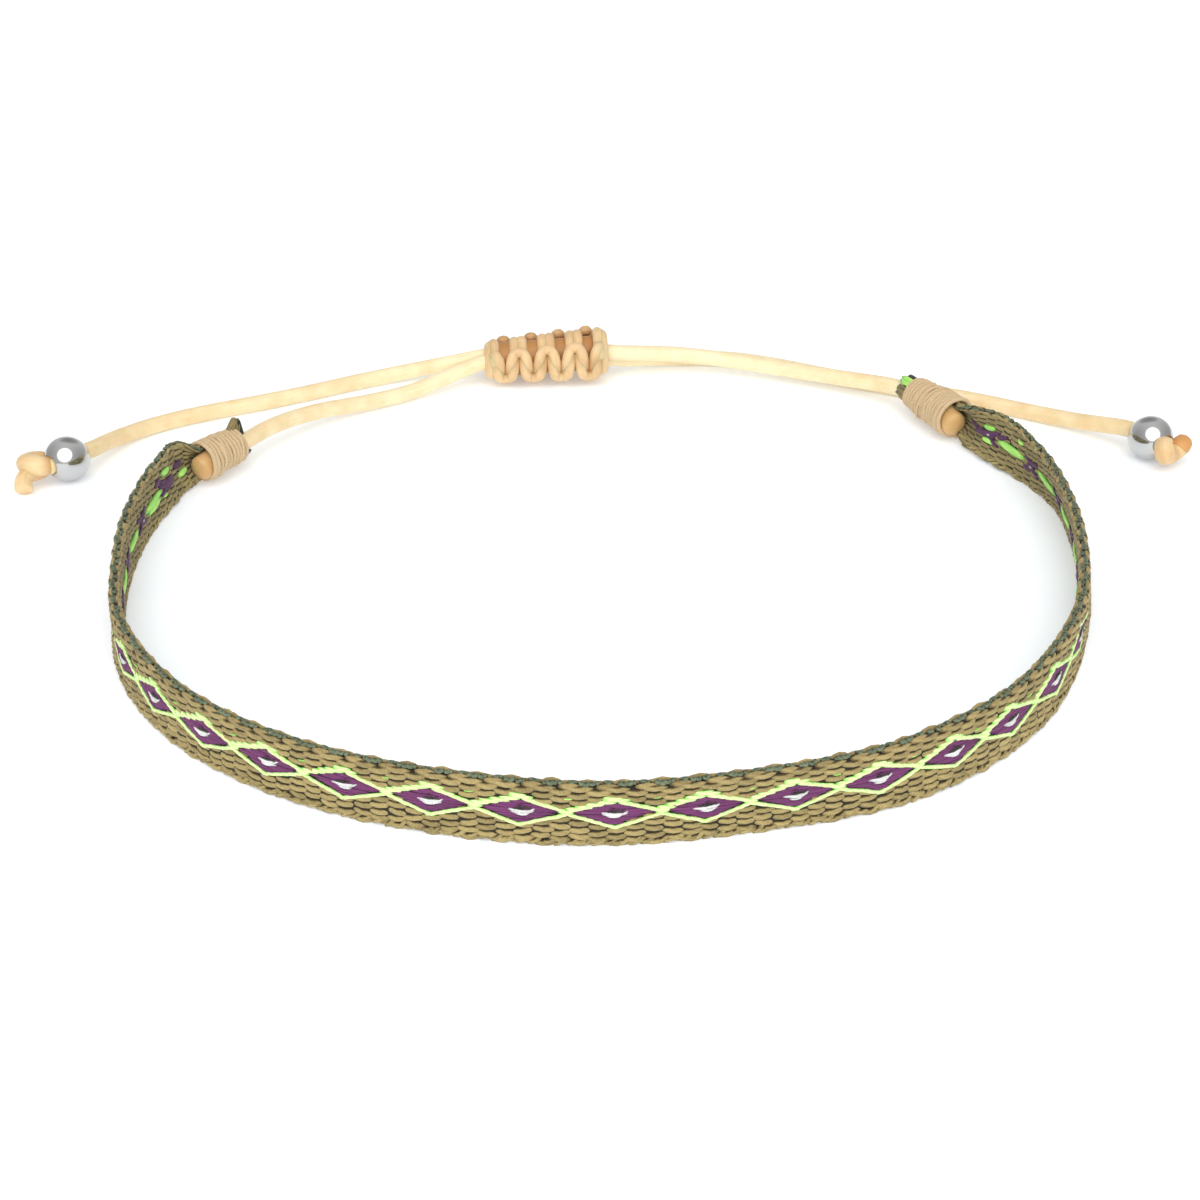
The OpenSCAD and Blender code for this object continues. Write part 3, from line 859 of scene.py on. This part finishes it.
# %% Core ribbon
def strip(name, start, end, half_v, half_n, material):
    """A closed ribbon along the band, with rounded edges."""
    places = np.arange(start, end + 0.4, 0.4)
    across = np.linspace(-1, 1, 13)
    thick = (1 - np.abs(across) ** 6) ** 0.5
    ring = np.vstack([np.stack([across * half_v, thick * half_n], 1),
                      np.stack([across * half_v, -thick * half_n], 1)[1:-1][::-1]])
    flat = np.array([[s, v, n] for s in places for v, n in ring])
    sides = len(ring)
    last_ring = (len(places) - 1) * sides
    faces = ring_faces(len(places), sides)
    faces += [tuple(range(sides)), tuple(last_ring + k for k in range(sides))[::-1]]
    return mesh_object(name, on_band(flat), faces, material, flat[:, :2], tone=np.full(len(flat), 0.4))


core_half_width, core_half_thickness, core_end = 2.12, 0.34, 1.0
band_core = strip("band_core", -core_end, band_length + core_end, core_half_width, core_half_thickness, core)
print("core", len(band_core.data.polygons), "faces")

# %% Pattern layout
warp_count, warp_pitch = 17, 0.25
float_step = 2.4
centre_v = 0.27  # the diamonds' middle line
middle_motif, pitch = 76.2, 5.95
left_pitch, right_pitch = 6.9, 6.6  # the weaver's beat is looser near the ends
lower_apex, upper_apex = 1.06, 0.90  # the neon line's height below and above the middle line
lower_reach, upper_reach, ground_reach = 3.4, 3.0, 3.3  # from a diamond's middle to where its slopes end
purple_half, purple_rise = 2.6, 0.82

motifs = [middle_motif + pitch * k for k in range(-9, 6)]
while motifs[0] > left_pitch:
    motifs.insert(0, motifs[0] - left_pitch)
while motifs[-1] < band_length - right_pitch:
    motifs.append(motifs[-1] + right_pitch)
motifs = np.array(motifs)
beat = np.gradient(motifs) / pitch  # how much longer each diamond is than the middle ones
print(len(motifs), "diamonds")


def in_diamond(s, v, margin):
    """True where the pattern covers the olive ground."""
    u = (np.abs(motifs - s) / beat).min()
    apex = lower_apex if v < centre_v else upper_apex
    return abs(v - centre_v) < (apex + margin) * (1 - u / ground_reach)


def on_front(s):
    """1 along the front of the loop, where the top edge is seen best, and 0 along its sides."""
    return np.interp(s, [30, 42, 106, 118], [0, 1, 1, 0])


def on_corners(s):
    """1 round the two front corners, where the band bends most, and 0 elsewhere."""
    return np.interp(s, [14, 24, 40, 52, 96, 106, 118, 132], [0, 1, 1, 0, 0, 1, 1, 0])


# %% Olive floats on both faces
warp_out, warp_dip = 0.33, 0.18
warp_half_length, warp_half_width, warp_half_height = 1.0, 0.25, 0.18


def weave_points(face):
    """face is 1 for the outer face and -1 for the inner one."""
    rows = []
    for j in range(warp_count):
        v = (j - 8.5) * warp_pitch
        for k in range(int(band_length / float_step) + 2):
            s = k * float_step + (j % 2) * float_step / 2 - 0.4 + rng.normal(0, 0.05)
            if not -0.8 < s < band_length + 0.8:
                continue
            if face > 0 and in_diamond(s, v, 0.05):
                continue
            rough = max(0.0, -v - 0.6) if face > 0 else 0.0  # the lower rows are shorter and less even
            bend = on_corners(s) if face > 0 else 0  # stretched threads are longer, wider and flatter
            rows.append([s, v + rng.normal(0, 0.012 + 0.02 * rough), face * warp_out,
                         warp_half_length + 0.07 * bend - 0.12 * rough, warp_half_width + 0.015 * bend,
                         warp_half_height - 0.03 * bend, rng.normal(0, 1.5 + 4 * rough), 0, face * warp_dip])
    return rows


outer_weave = floats("outer_weave", weave_points(1), olive, fullness=1.35)
inner_weave = floats("inner_weave", weave_points(-1), olive_shaded, fullness=1.35)

# %% [markdown]
# ## Selvedges
# Along the top edge the weft turns back in small sage loops, in groups, and the outermost warp
# thread rises between them. Along the front its olive humps stand up behind the loops. The bottom
# edge is rougher, with slanted stitches that the table presses flat. A plain rounded edge would
# be quicker, but the edge is the first thing that is seen against the white table.

# %% Selvedge threads
loop_steps = np.arange(0.2, band_length, float_step)
hem_step = 0.8
sage_loops = (  # shift along, height, half length: four loops in a group, and one between the groups
    (-0.44, 2.17, 0.20), (-0.14, 2.15, 0.30), (0.24, 2.16, 0.28), (0.54, 2.17, 0.18), (1.36, 2.17, 0.18))


def top_olive():
    rows = []
    for s in loop_steps:
        front = on_front(s)
        if 5.0 < s < band_length - 5.0:
            half = rng.uniform(0.85, 1.10) * (0.6 + 0.4 * front)
            rows.append([s + rng.normal(0, 0.08), 2.15 - 0.03 * front + rng.normal(0, 0.03),
                         -0.17 - 0.08 * front, half, 0.17 + 0.09 * front, 0.17, 0, -0.3, 0])
        rows.append([s + 1.2 + rng.normal(0, 0.06), 2.02, 0.24, 0.80, 0.24, 0.16, 0, -0.04, 0.08])
        for shift in (0.0, 0.8, 1.6):
            rows.append([s + shift + rng.normal(0, 0.05), 2.03, -0.30, 0.50, 0.17, 0.13,
                         rng.normal(0, 9), 0, 0])
    return rows


def top_sage():
    rows = []
    for s in loop_steps:
        front = on_front(s)
        for shift, up, half in sage_loops:
            out = 0.06 if half < 0.19 else 0.08 + 0.05 * front
            height = 0.24 if half > 0.29 else 0.19
            rows.append([s + shift + rng.normal(0, 0.05), up + 0.04 * front + rng.normal(0, 0.02),
                         out + rng.normal(0, 0.02), half, 0.16, height, rng.normal(0, 14), 0, 0.03])
        rows.append([s + 1.30 + rng.normal(0, 0.06), 2.14, -0.14, 0.40, 0.15, 0.18, rng.normal(0, 10), 0, 0])
    return rows


def bottom_olive():
    rows = []
    for s in np.arange(int(band_length / hem_step)) * hem_step:
        rows.append([s + rng.normal(0, 0.08), -2.02, 0.34, 0.52, 0.15, 0.17, 24 + rng.normal(0, 10), 0, 0.06])
        rows.append([s + 0.4 + rng.normal(0, 0.08), -2.16, 0.06, 0.60, 0.16, 0.34, rng.normal(0, 6), 0.05, 0])
        rows.append([s + rng.normal(0, 0.08), -2.02, -0.34, 0.52, 0.15, 0.17, -24, 0, -0.06])
    return rows


top_humps = floats("top_selvedge", top_olive(), olive_edge, fullness=0.95)
top_loops = floats("top_weft_loops", top_sage(), sage, spread=0.15, fullness=0.9)
bottom_stitches = floats("bottom_selvedge", bottom_olive(), olive, spread=0.15)

# %% [markdown]
# ## The diamond pattern
# Each diamond is one motif of six millimetres: purple floats of different lengths, a neon line
# above and below, and a curved silver float in the middle with a dark slit over it. Every stroke
# is a float like those of the ground, so the pattern is woven in and not painted on. The upper
# line climbs the left slope in long steps, is thickest at the top, and runs down smoothly on the
# right.

# %% Repeating a motif
sunk_sides = ([15, 18, 31, 34, 116.5, 119.5, 146, 150], [0, 1, 1, 0, 0, 1, 1, 0])
sunk_depth = 0.14  # at the two sides the threads lie deeper, so no bright line edges the band there


def repeated(strokes, jitter=0.03, ends=True):
    """The strokes of one motif at every motif's place, or at all but the first and the last.

    A stroke is a row as in floats, with its place counted from the motif's middle.
    """
    rows = []
    for at, longer in list(zip(motifs, beat))[0 if ends else 1:None if ends else -1]:
        shift = at + rng.normal(0, 0.06)
        for u, v, n, half, *rest in strokes:
            s = shift + u * longer + rng.normal(0, jitter)
            if n > 0:
                n -= sunk_depth * np.interp(s, *sunk_sides)
            if -0.5 < s < band_length + 0.5:
                rows.append([s, centre_v + v + rng.normal(0, jitter / 3), n, half * longer, *rest])
    return rows


# %% Outer motif
def neon_strokes():
    rows = [[-0.16, upper_apex + 0.17, 0.45, 0.66, 0.12, 0.11, -3, 0, 0.04],
            [0.06, upper_apex + 0.02, 0.44, 0.92, 0.14, 0.11, -5, 0, 0.04],
            [2.98, 0.05, 0.43, 0.50, 0.10, 0.11, 0, 0, 0.04],
            [2.98, -0.05, 0.43, 0.54, 0.10, 0.11, 0, 0, 0.04]]
    for k in range(4):  # long steps up the left slope
        u = 0.66 + 0.62 * k
        rise = upper_apex * (1 - u / upper_reach) + 0.07
        rows.append([-u, rise, 0.44 - 0.012 * k, 0.72, 0.15, 0.11, 0, 0, 0.04])
        rows.append([-u - 0.10, rise - 0.07, 0.41, 0.55, 0.13, 0.10, 8, 0, 0.03])
    for k in range(5):  # the smooth right slope
        u = 0.62 + 0.50 * k
        rise = upper_apex * (1 - u / upper_reach) - 0.02
        rows.append([u, rise, 0.44 - 0.01 * k, 0.58, 0.155, 0.11, -12, 0, 0.04])
    for side in (-1, 1):  # the lower line
        for k in range(6):
            u = 0.16 + 0.52 * k
            fall = lower_apex * (1 - u / lower_reach) + 0.05
            rows.append([side * u, -fall, 0.43, 0.50, 0.145, 0.11, side * 16, 0, 0.02])
    return rows


def purple_strokes():
    """Floats side by side, the longest in the middle; a long one is two that meet."""
    rows = []
    for k in range(-4, 4):
        v = 0.19 * k
        half = purple_half * (1 - abs(v) / (purple_rise + (0.16 if v < 0 else 0.02))) + 0.12
        if half > 1.3:
            rows += [[side * half * 0.47, v, 0.39, half * 0.56, 0.13, 0.12, 0, 0, 0] for side in (-1, 1)]
        else:
            rows.append([0, v, 0.39, half + 0.1, 0.13, 0.12, 0, 0, 0])
    return rows


silver_strokes = [[0.00, -0.08, 0.51, 0.88, 0.10, 0.07, 1, 0.06, 0.05],
                  [0.02, -0.20, 0.51, 0.74, 0.10, 0.07, -1, 0.10, 0.05],
                  [0.04, -0.32, 0.50, 0.50, 0.09, 0.07, 2, 0.08, 0.05],
                  [0.62, -0.02, 0.51, 0.32, 0.07, 0.06, 20, 0.04, 0.04]]
slit_strokes = [[-0.30 + 0.17 * k, 0.10 + 0.012 * k, 0.50, 0.17, 0.045, 0.05, 38, 0, 0.02] for k in range(6)]
glint_strokes = [[2.7, 0.86, 0.42, 0.34, 0.055, 0.07, 4, 0, 0.05]]

outer_neon = floats("outer_neon_lines", repeated(neon_strokes()), neon, fullness=0.7)
outer_purple = floats("outer_purple_diamonds", repeated(purple_strokes(), 0.05), purple, wobble=0.02,
                      fullness=0.8)
outer_silver = floats("outer_silver_floats", repeated(silver_strokes, 0.04), silver, wobble=0.06)
outer_slits = floats("outer_dark_slits", repeated(slit_strokes, 0.04), dark_weft, wobble=0.2)
outer_glints = floats("outer_neon_glints", repeated(glint_strokes, 0.3), neon_shaded, wobble=0.1)

# %% [markdown]
# ## The inner face
# The back of the weave shows the same threads the other way round: one long neon float behind
# each diamond, and purple crossings with a silver dot between them. Near the bindings the photo
# is sharp enough to see single floats, so those are laid one by one, and the rest repeat.

# %% Inner motif
inner_neon_strokes = [[0, -0.25, -0.50, 2.05, 0.40, 0.14, 0, 0, -0.06]]
inner_purple_strokes = [[side * 2.45, -0.25 + 0.40 * top, -0.46, 0.85, 0.24, 0.13, -side * top * 15, 0, -0.08]
                        for side in (-1, 1) for top in (-1, 1)]
inner_purple_strokes += [[3.0, -0.25, -0.50, 0.70, 0.27, 0.13, 0, 0, -0.05]]
inner_silver_strokes = [[2.95, -0.22, -0.60, 0.20, 0.13, 0.06, 0, 0, -0.02]]
inner_neon_rows = repeated(inner_neon_strokes, ends=False)
inner_purple_rows = repeated(inner_purple_strokes, ends=False)
print(len(inner_neon_rows), "neon and", len(inner_purple_rows), "purple floats laid by rule")

# %% Inner floats near the bindings
# short neon floats flank the purple ones, askew on the left where the weave is pulled
inner_neon_rows += [
    [9.0, -0.02, -0.49, 1.75, 0.30, 0.13, 0, 0, -0.06], [8.8, -0.50, -0.49, 1.75, 0.28, 0.13, 0, 0, -0.06],
    [5.15, 1.0, -0.50, 0.95, 0.36, 0.13, 4, 0, -0.08], [2.1, -0.5, -0.50, 1.05, 0.36, 0.13, 0, 0, -0.08],
    [6.2, -0.75, -0.48, 0.55, 0.16, 0.12, 0, 0, -0.08], [155.6, 0.72, -0.50, 0.85, 0.30, 0.13, -6, 0, -0.08],
    [155.4, -0.55, -0.50, 1.0, 0.28, 0.13, -6, 0, -0.08], [150.9, 1.35, -0.50, 0.50, 0.20, 0.13, 0, 0, -0.08]]
inner_purple_rows += [
    [2.7, 0.5, -0.50, 0.9, 0.34, 0.13, 0, 0, -0.06], [5.0, -0.1, -0.50, 1.2, 0.50, 0.14, 0, 0, -0.06],
    [7.2, 0.9, -0.48, 0.8, 0.30, 0.13, 0, 0, -0.06], [6.3, 0.1, -0.48, 1.0, 0.24, 0.13, 20, 0, -0.06],
    [156.0, 0.05, -0.50, 1.6, 0.36, 0.14, -8, 0, -0.06], [153.6, 0.5, -0.48, 0.9, 0.24, 0.13, -24, 0, -0.06],
    [157.9, 0.4, -0.48, 0.9, 0.26, 0.13, 14, 0, -0.06]]
inner_neon = floats("inner_neon_floats", inner_neon_rows, neon_shaded, fullness=1.2)
inner_purple = floats("inner_purple_crossings", inner_purple_rows, purple_shaded)
inner_silver = floats("inner_silver_dots", repeated(inner_silver_strokes, ends=False), silver_shaded)

# %% [markdown]
# ## The cut ends of the band
# Past each binding the band's cut end sticks out, a short tuft of all its threads. The right one
# is still curled round the cord. The left one has opened into a small tent of threads that lean
# together at a tip. The same floats serve again, only laid on other surfaces than the band.

# %% Surfaces for the cut ends
def round_axis(at, yaw, inner, radius):
    """A map from flat (along, around, out) to the thread layers round a binding's axis."""
    ahead, inward, upward = np.array([*heading_of(yaw), 0]), np.array([*inner, 0]), np.array([0, 0, 1.0])

    def place(points):
        s, v, n = np.asarray(points, dtype=float).T
        a = v / radius
        ring = np.cos(a)[:, None] * inward + np.sin(a)[:, None] * upward
        middle = np.array([*at, axis_z]) + s[:, None] * ahead
        return (middle + (radius + n)[:, None] * ring) * MM
    return place


def line_axis(origin, tip):
    """A map whose first number runs from origin towards tip, with the other two square to that line."""
    origin, ahead = np.array(origin), unit(np.array(tip) - np.array(origin))
    side = unit(np.cross(ahead, [0.3, -1.0, 0.2]))
    axes = np.array([ahead, side, np.cross(ahead, side)])
    return lambda points: (origin + np.asarray(points, dtype=float) @ axes) * MM


right_end = round_axis(right_wrap_at, right_wrap_yaw, right_inner, 1.05)
left_end = round_axis(left_wrap_at, left_wrap_yaw, left_inner, 1.0)
left_tip = (-32.8, 16.6, 4.65)
left_rise, left_fall = line_axis((-33.6, 15.7, 3.3), left_tip), line_axis((-32.5, 17.1, 2.6), left_tip)
left_heart = line_axis((-33.0, 16.4, 2.7), left_tip)
print("left tip", left_tip, "mm")


# %% Cut ends
def tuft(name, place, material, count, reach, v_range, layers, thick=0.15):
    """count thread ends between two places along the surface. layers are how far out they may lie."""
    start, end = reach
    half = (end - start) / 2
    rows = [[rng.uniform(start, start + 0.25) + half, rng.uniform(*v_range), rng.choice(layers),
             half * rng.uniform(0.85, 1.1), thick, thick, rng.normal(0, 4), 0, 0] for _ in range(count)]
    return floats(name, rows, material, place=place, spread=0.1)


def past(wrap_len, start, end):
    return wrap_len + start, wrap_len + end


tufts = [
    tuft("right_cut_end_olive", right_end, olive_shaded, 34, past(right_wrap_len, -0.7, 1.55),
         (-0.6, 0.70), (-0.15, 0.05, 0.2)),
    tuft("right_cut_end_neon", right_end, neon_shaded, 14, past(right_wrap_len, -0.6, 1.6),
         (0.80, 1.30), (0.05, 0.25)),
    tuft("right_cut_end_purple", right_end, dark_weft, 12, past(right_wrap_len, -0.7, 1.5),
         (1.45, 1.95), (-0.1, 0.1, 0.22)),
    tuft("left_cut_end_rise", left_rise, olive_shaded, 14, (-0.2, 1.7), (-0.22, 0.22), (-0.1, 0.0, 0.1), 0.12),
    tuft("left_cut_end_fall", left_fall, dark_weft, 14, (-0.2, 1.9), (-0.20, 0.20), (-0.1, 0.0, 0.1), 0.12),
    tuft("left_cut_end_heart", left_heart, olive_shaded, 10, (-0.3, 1.6), (-0.3, 0.3), (-0.08, 0.08), 0.14),
    tuft("left_cut_end_low", left_end, dark_weft, 6, past(left_wrap_len, -1.0, 0.25),
         (-0.9, -0.4), (0.2, 0.3), 0.13)]
band_pieces = [outer_weave, inner_weave, top_humps, top_loops, bottom_stitches, outer_neon, outer_purple,
               outer_silver, outer_slits, outer_glints, inner_neon, inner_purple, inner_silver, *tufts]

# %% [markdown]
# ## Bindings
# A binding is one thread wound round the band's gathered end and the cord, turn against turn, so
# a pile of rings would be wrong: its turns have to run on. A spiral curve with a flattened round
# section gives them, and the tree's inputs are its sizes. A second, looser winding crosses over
# each, because the thread's tail is tied off on the outside.

# %% Wound thread tree
def build_wound_tree():
    tree, given, out = geo_tree("wound thread", [
        ("Float", "Turns", 10.0), ("Float", "Start radius", 1.7), ("Float", "End radius", 1.7),
        ("Float", "Length", 6.0), ("Float", "Thread width", 0.33), ("Float", "Thread height", 0.2),
        ("Float", "Unevenness", 0.1), ("Float", "Start angle", 0.0), ("Material", "Material", None)])
    spiral = put(tree, "GeometryNodeCurveSpiral", {
        "Resolution": 36, "Rotations": given["Turns"], "Start Radius": given["Start radius"],
        "End Radius": given["End radius"], "Height": given["Length"]}).outputs[0]
    spiral = turned(tree, spiral, Rotation=combined(tree, Z=given["Start angle"]))
    noise = put(tree, "ShaderNodeTexNoise", {"Scale": 0.9, "Detail": 1.0}).outputs["Color"]
    shift = do_vectors(tree, "SUBTRACT", {0: noise, 1: (0.5, 0.5, 0.5)})
    spiral = moved(tree, spiral, Offset=do_vectors(tree, "SCALE", {0: shift, "Scale": given["Unevenness"]}))
    spiral = put(tree, "GeometryNodeSetCurveNormal", {"Curve": spiral}, mode="Z_UP").outputs[0]
    spline = put(tree, "GeometryNodeSplineParameter").outputs
    spiral = stored(tree, spiral, "run", spline["Length"])
    profile = put(tree, "GeometryNodeCurvePrimitiveCircle", {"Resolution": 10, "Radius": 1.0}).outputs[0]
    flattened = combined(tree, X=given["Thread height"], Y=given["Thread width"], Z=1.0)
    profile = turned(tree, profile, Scale=flattened)
    centred = maths(tree, "SUBTRACT", maths(tree, "MULTIPLY", spline["Factor"], 2.0), 1.0)
    profile = stored(tree, profile, "round", maths(tree, "ABSOLUTE", centred))
    mesh = put(tree, "GeometryNodeCurveToMesh",
               {"Curve": spiral, "Profile Curve": profile, "Fill Caps": True}).outputs[0]
    uv = combined(tree, X=named(tree, "round"), Y=named(tree, "run"))
    mesh = stored(tree, mesh, "UVMap", uv, "FLOAT2", "CORNER")
    mesh = put(tree, "GeometryNodeRealizeInstances", {"Geometry": mesh}).outputs[0]
    finished(tree, mesh, given["Material"], out)
    return tree


wound_tree = build_wound_tree()
print("wound tree", len(wound_tree.nodes), "nodes")


# %% The two bindings
def wound(name, wrap, start, length, turns, radii, thread, uneven, angle=0.0):
    """A thread wound round a binding. radii are its first and last, thread is its width and height."""
    at, yaw = wrap
    obj = grown(name, bpy.data.meshes.new(name), wound_tree, Turns=float(turns), Start_radius=radii[0],
                End_radius=radii[1], Length=length, Thread_width=thread[0], Thread_height=thread[1],
                Unevenness=uneven, Start_angle=angle, Material=binding)
    origin = Vector((*(at + start * heading_of(yaw)), axis_z))
    turn = Matrix.Rotation(radians(yaw), 4, "Z") @ Matrix.Rotation(radians(90), 4, "Y")
    obj.data.transform(Matrix.Scale(MM, 4) @ Matrix.Translation(origin) @ turn)
    print(name, turns, "turns,", len(obj.data.polygons), "faces")
    return obj


left, right = (left_wrap_at, left_wrap_yaw), (right_wrap_at, right_wrap_yaw)
main_thread, tail_thread = (0.185, 0.20), (0.16, 0.14)
left_wrap = wound("left_binding", left, 0.20, left_wrap_len - 0.4, 11, (1.60, 1.42), main_thread, 0.30)
right_wrap = wound("right_binding", right, 0.20, right_wrap_len, 16, (1.78, 1.36), main_thread, 0.30)
overwraps = [
    wound("left_binding_tail", left, 0.5, left_wrap_len - 1.2, 1.6, (1.74, 1.58), tail_thread, 0.3, 1.2),
    wound("left_binding_mouth", left, 0.05, 0.55, 1.5, (1.62, 1.70), (0.20, 0.17), 0.2, 1.0),
    wound("right_binding_tail", right, 0.7, 4.4, 2.3, (1.92, 1.60), tail_thread, 0.3, 2.6),
    wound("right_binding_cross", right, 2.6, 3.0, 1.2, (1.84, 1.62), tail_thread, 0.5, 5.2)]

# %% [markdown]
# ## The bound cord ends
# Each cord starts inside a binding. Its cut end bulges from the band's side of the binding, in
# the hollow of the gathered band, and fills the binding's mouth. It is a short fat tube of its
# own, because the pressed end is thicker than the cord.

# %% Bound cord ends
def bound_end(name, wrap, inner, reach, radius, drop):
    at, yaw = wrap
    start = np.array([*(at - reach * heading_of(yaw) + 0.45 * inner), axis_z - drop])
    end = np.array([*(at + 1.8 * heading_of(yaw) + 0.3 * inner), axis_z])
    path = smooth_path(np.array([start, (start + end) / 2, end]) * MM, 0.2 * MM)
    verts, faces, uvs = tube_mesh(path, radius * MM, cord_sides, flat=1.08, dome=0.42)
    print(name, len(faces), "faces")
    return mesh_object(name, verts, faces, end_satin, uvs)


bound_ends = [bound_end("left_bound_cord_end", left, left_inner, reach=0.45, radius=1.02, drop=0.35),
              bound_end("right_bound_cord_end", right, right_inner, reach=0.15, radius=1.10, drop=0.40)]

# %% [markdown]
# ## The slider
# The slider is a row of square knots: one strand always crosses over the two cords and one
# always under, and they loop round each other at the sides, which makes the bumps. Waves give
# such a course better than points set by hand, because each knot is the same. The strands carry
# painted shade where they tuck in and on the far side. A plain core inside closes the view
# between the strands; its brown is painted shade, where the cream cords lie in the hollows.

# %% Square knots
knots, knot_pitch = 4, 2.70
strand_r, strand_sides = 0.50, 14
drawn_in = ([0, 0.12, 0.42, 0.75], [0.55, 0.80, 0.86, 1])  # the last half turn, so the ends are round


def round_slider(x, angle, reach):
    """A point x along the slider, at an angle round it, as a share of its outline."""
    swell = 1.055 + 0.115 * x / (slider_len / 2)
    y = -(slider_w / 2 * swell - strand_r) * reach * np.cos(angle)
    z = slider_z * swell + (slider_h / 2 * swell - strand_r) * reach * np.sin(angle)
    at = slider_at[:, None] + x * heading_of(slider_yaw)[:, None] + y * left_of(slider_yaw)[:, None]
    return np.stack([at[0], at[1], z], axis=1)


def sinnet():
    """Two strands over four knots and once more round each end, each with painted shade where it tucks in and
    on the far side.
    """
    t = np.linspace(-1.0, knots, (knots + 1) * 16 + 1)
    to_end = np.minimum(t + 1, knots - t)
    parts, tones = [], []
    for over, end in ((1, 5.40), (-1, 5.00)):
        x = (t + over * 0.12 * np.sin(2 * pi * t) + 0.06 * np.sin(4 * pi * t) - (knots - 1) / 2) * knot_pitch
        wave = (np.cos(2 * pi * t) - 0.09 * np.cos(6 * pi * t)) / 0.91
        angle = np.radians(over * 90 - 135 * wave)
        height = np.degrees(np.arcsin(np.sin(angle))) * over
        reach = np.interp(height, [-45, -15, 15, 50, 90], [1.04, 1.0, 0.78, 0.86, 0.97])
        reach = reach * np.interp(to_end, *drawn_in)
        # painted shade: darker in the hollows where a strand tucks in, and on the slider's far side
        far_side_shade = np.interp(np.abs(np.degrees(angle)), [60, 95, 135, 225], [0, 0.10, 0.60, 0.60])
        shade = np.clip((0.98 - reach) / 0.25, 0, 1) * 0.5 * (to_end > 0.5) + far_side_shade
        thickness = np.interp(to_end, [0.4, 0.8], [0.60, strand_r])
        places = round_slider(np.clip(x, -end, end), angle, reach)
        path = smooth_path(np.c_[places, shade, thickness] * MM, 0.2 * MM)
        parts.append(tube_mesh(path[:, :3], path[:, 4], strand_sides))
        tones.append(on_rings(path[:, 3] / MM, strand_sides))
    return (*joined(parts), np.concatenate(tones))


verts, faces, uvs, tones = sinnet()
slider = mesh_object("sliding_knot", verts, faces, slider_satin, uvs, tones)
inside = round_slider(np.linspace(-4.9, 4.9, 9), np.zeros(9), 0.0) * MM
verts, faces, uvs = tube_mesh(inside, 1.66 * MM, cord_sides, dome=0.35)
slider_inside = mesh_object("sliding_knot_inside", verts, faces, slider_core_satin, uvs)
print("slider", len(slider.data.polygons) + len(faces), "faces")

# %% [markdown]
# ## Stopper knots
# Behind each bead the cord is tied in a single knot that stops the bead, its tail cut short and
# melted. Each knot is one tube through listed points, because no rule gives a knot that fingers
# pulled tight, and the cord is thicker where it is squeezed outwards.

# %% Stopper knots
knot_sides = 18
left_turns = [  # x, y, z, radius
    [-48.6, 12.4, 2.0, 0.78], [-49.4, 12.1, 2.15, 0.90], [-50.1, 12.25, 2.2, 0.94], [-50.7, 12.8, 2.05, 0.88],
    [-50.4, 13.7, 1.9, 0.80], [-49.6, 13.9, 1.8, 0.78], [-49.3, 13.2, 1.5, 0.76], [-49.8, 12.6, 1.35, 0.76],
    [-50.4, 11.9, 1.4, 0.74], [-50.65, 11.2, 1.15, 0.75], [-50.55, 10.5, 0.65, 0.80]]
right_turns = [
    [49.6, 16.4, 2.0, 0.78], [49.4, 15.9, 2.28, 0.82], [49.35, 15.45, 2.1, 0.88], [49.4, 15.3, 1.78, 0.88],
    [49.6, 15.5, 1.50, 0.84], [50.2, 16.0, 1.35, 0.80], [50.8, 16.5, 1.5, 0.78], [51.3, 16.8, 1.80, 0.80]]
right_melted = [[51.0, 16.7, 1.65, 0.86], [51.25, 16.85, 1.9, 0.90], [51.45, 16.95, 2.1, 0.84]]


def stopper(name, turns, material, dome=0.25):
    """A cord swept through its turns, with its own thickness at each, and painted shade where it tucks in."""
    path = smooth_path(np.array(turns) * MM, 0.12 * MM)
    verts, faces, uvs = tube_mesh(path[:, :3], path[:, 3], knot_sides, dome=dome)
    share = np.arange(len(path)) / len(path)
    # painted shade along the knot where the cord tucks in
    tucked_shade = np.interp(share, [0, 0.1, 0.4, 0.62, 0.75, 1], [1, 0, 0.5, 1, 0.5, 0.1])
    return mesh_object(name, verts, faces, material, uvs, on_rings(tucked_shade, knot_sides))


left_knot = stopper("left_stopper", left_turns, knot_satin)
right_knot = stopper("right_stopper", right_turns, knot_satin)
melted_end = stopper("right_melted_end", right_melted, burnt_satin, dome=0.8)
print("stopper knots", len(left_knot.data.polygons) + len(right_knot.data.polygons), "faces")

# %% [markdown]
# ## Beads
# The beads are drilled balls of polished steel, and the CAD beads have just that shape, so they
# stay. A mirror-like metal needs no pattern, only a room to reflect.

# %% Beads
steel = plain_material("polished steel", (0.57, 0.57, 0.565, 1), 0.13, 1.0)
for node in ("left_bead", "right_bead"):
    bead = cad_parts[node]
    bead.data.materials.clear()
    bead.data.materials.append(steel)
    print(node, "in", steel.name)

# %% [markdown]
# ## The pieces on the body
# Every piece rides on the one body, and the CAD solids that the new pieces stand for are hidden.

# %% Rides and stand-ins
for piece in band_pieces + [band_core]:
    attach(piece, "root")
for piece in (left_wrap, right_wrap, *overwraps):
    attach(piece, "root")
for piece in (left_cord, right_cord, slider, slider_inside, left_knot, right_knot, melted_end, *bound_ends):
    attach(piece, "root")
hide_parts("woven_band")
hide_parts("left_wrap")
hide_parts("right_wrap")
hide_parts("left_cord")
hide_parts("right_cord")
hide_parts("slider_knot")
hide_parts("left_stopper_knot")
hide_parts("right_stopper_knot")
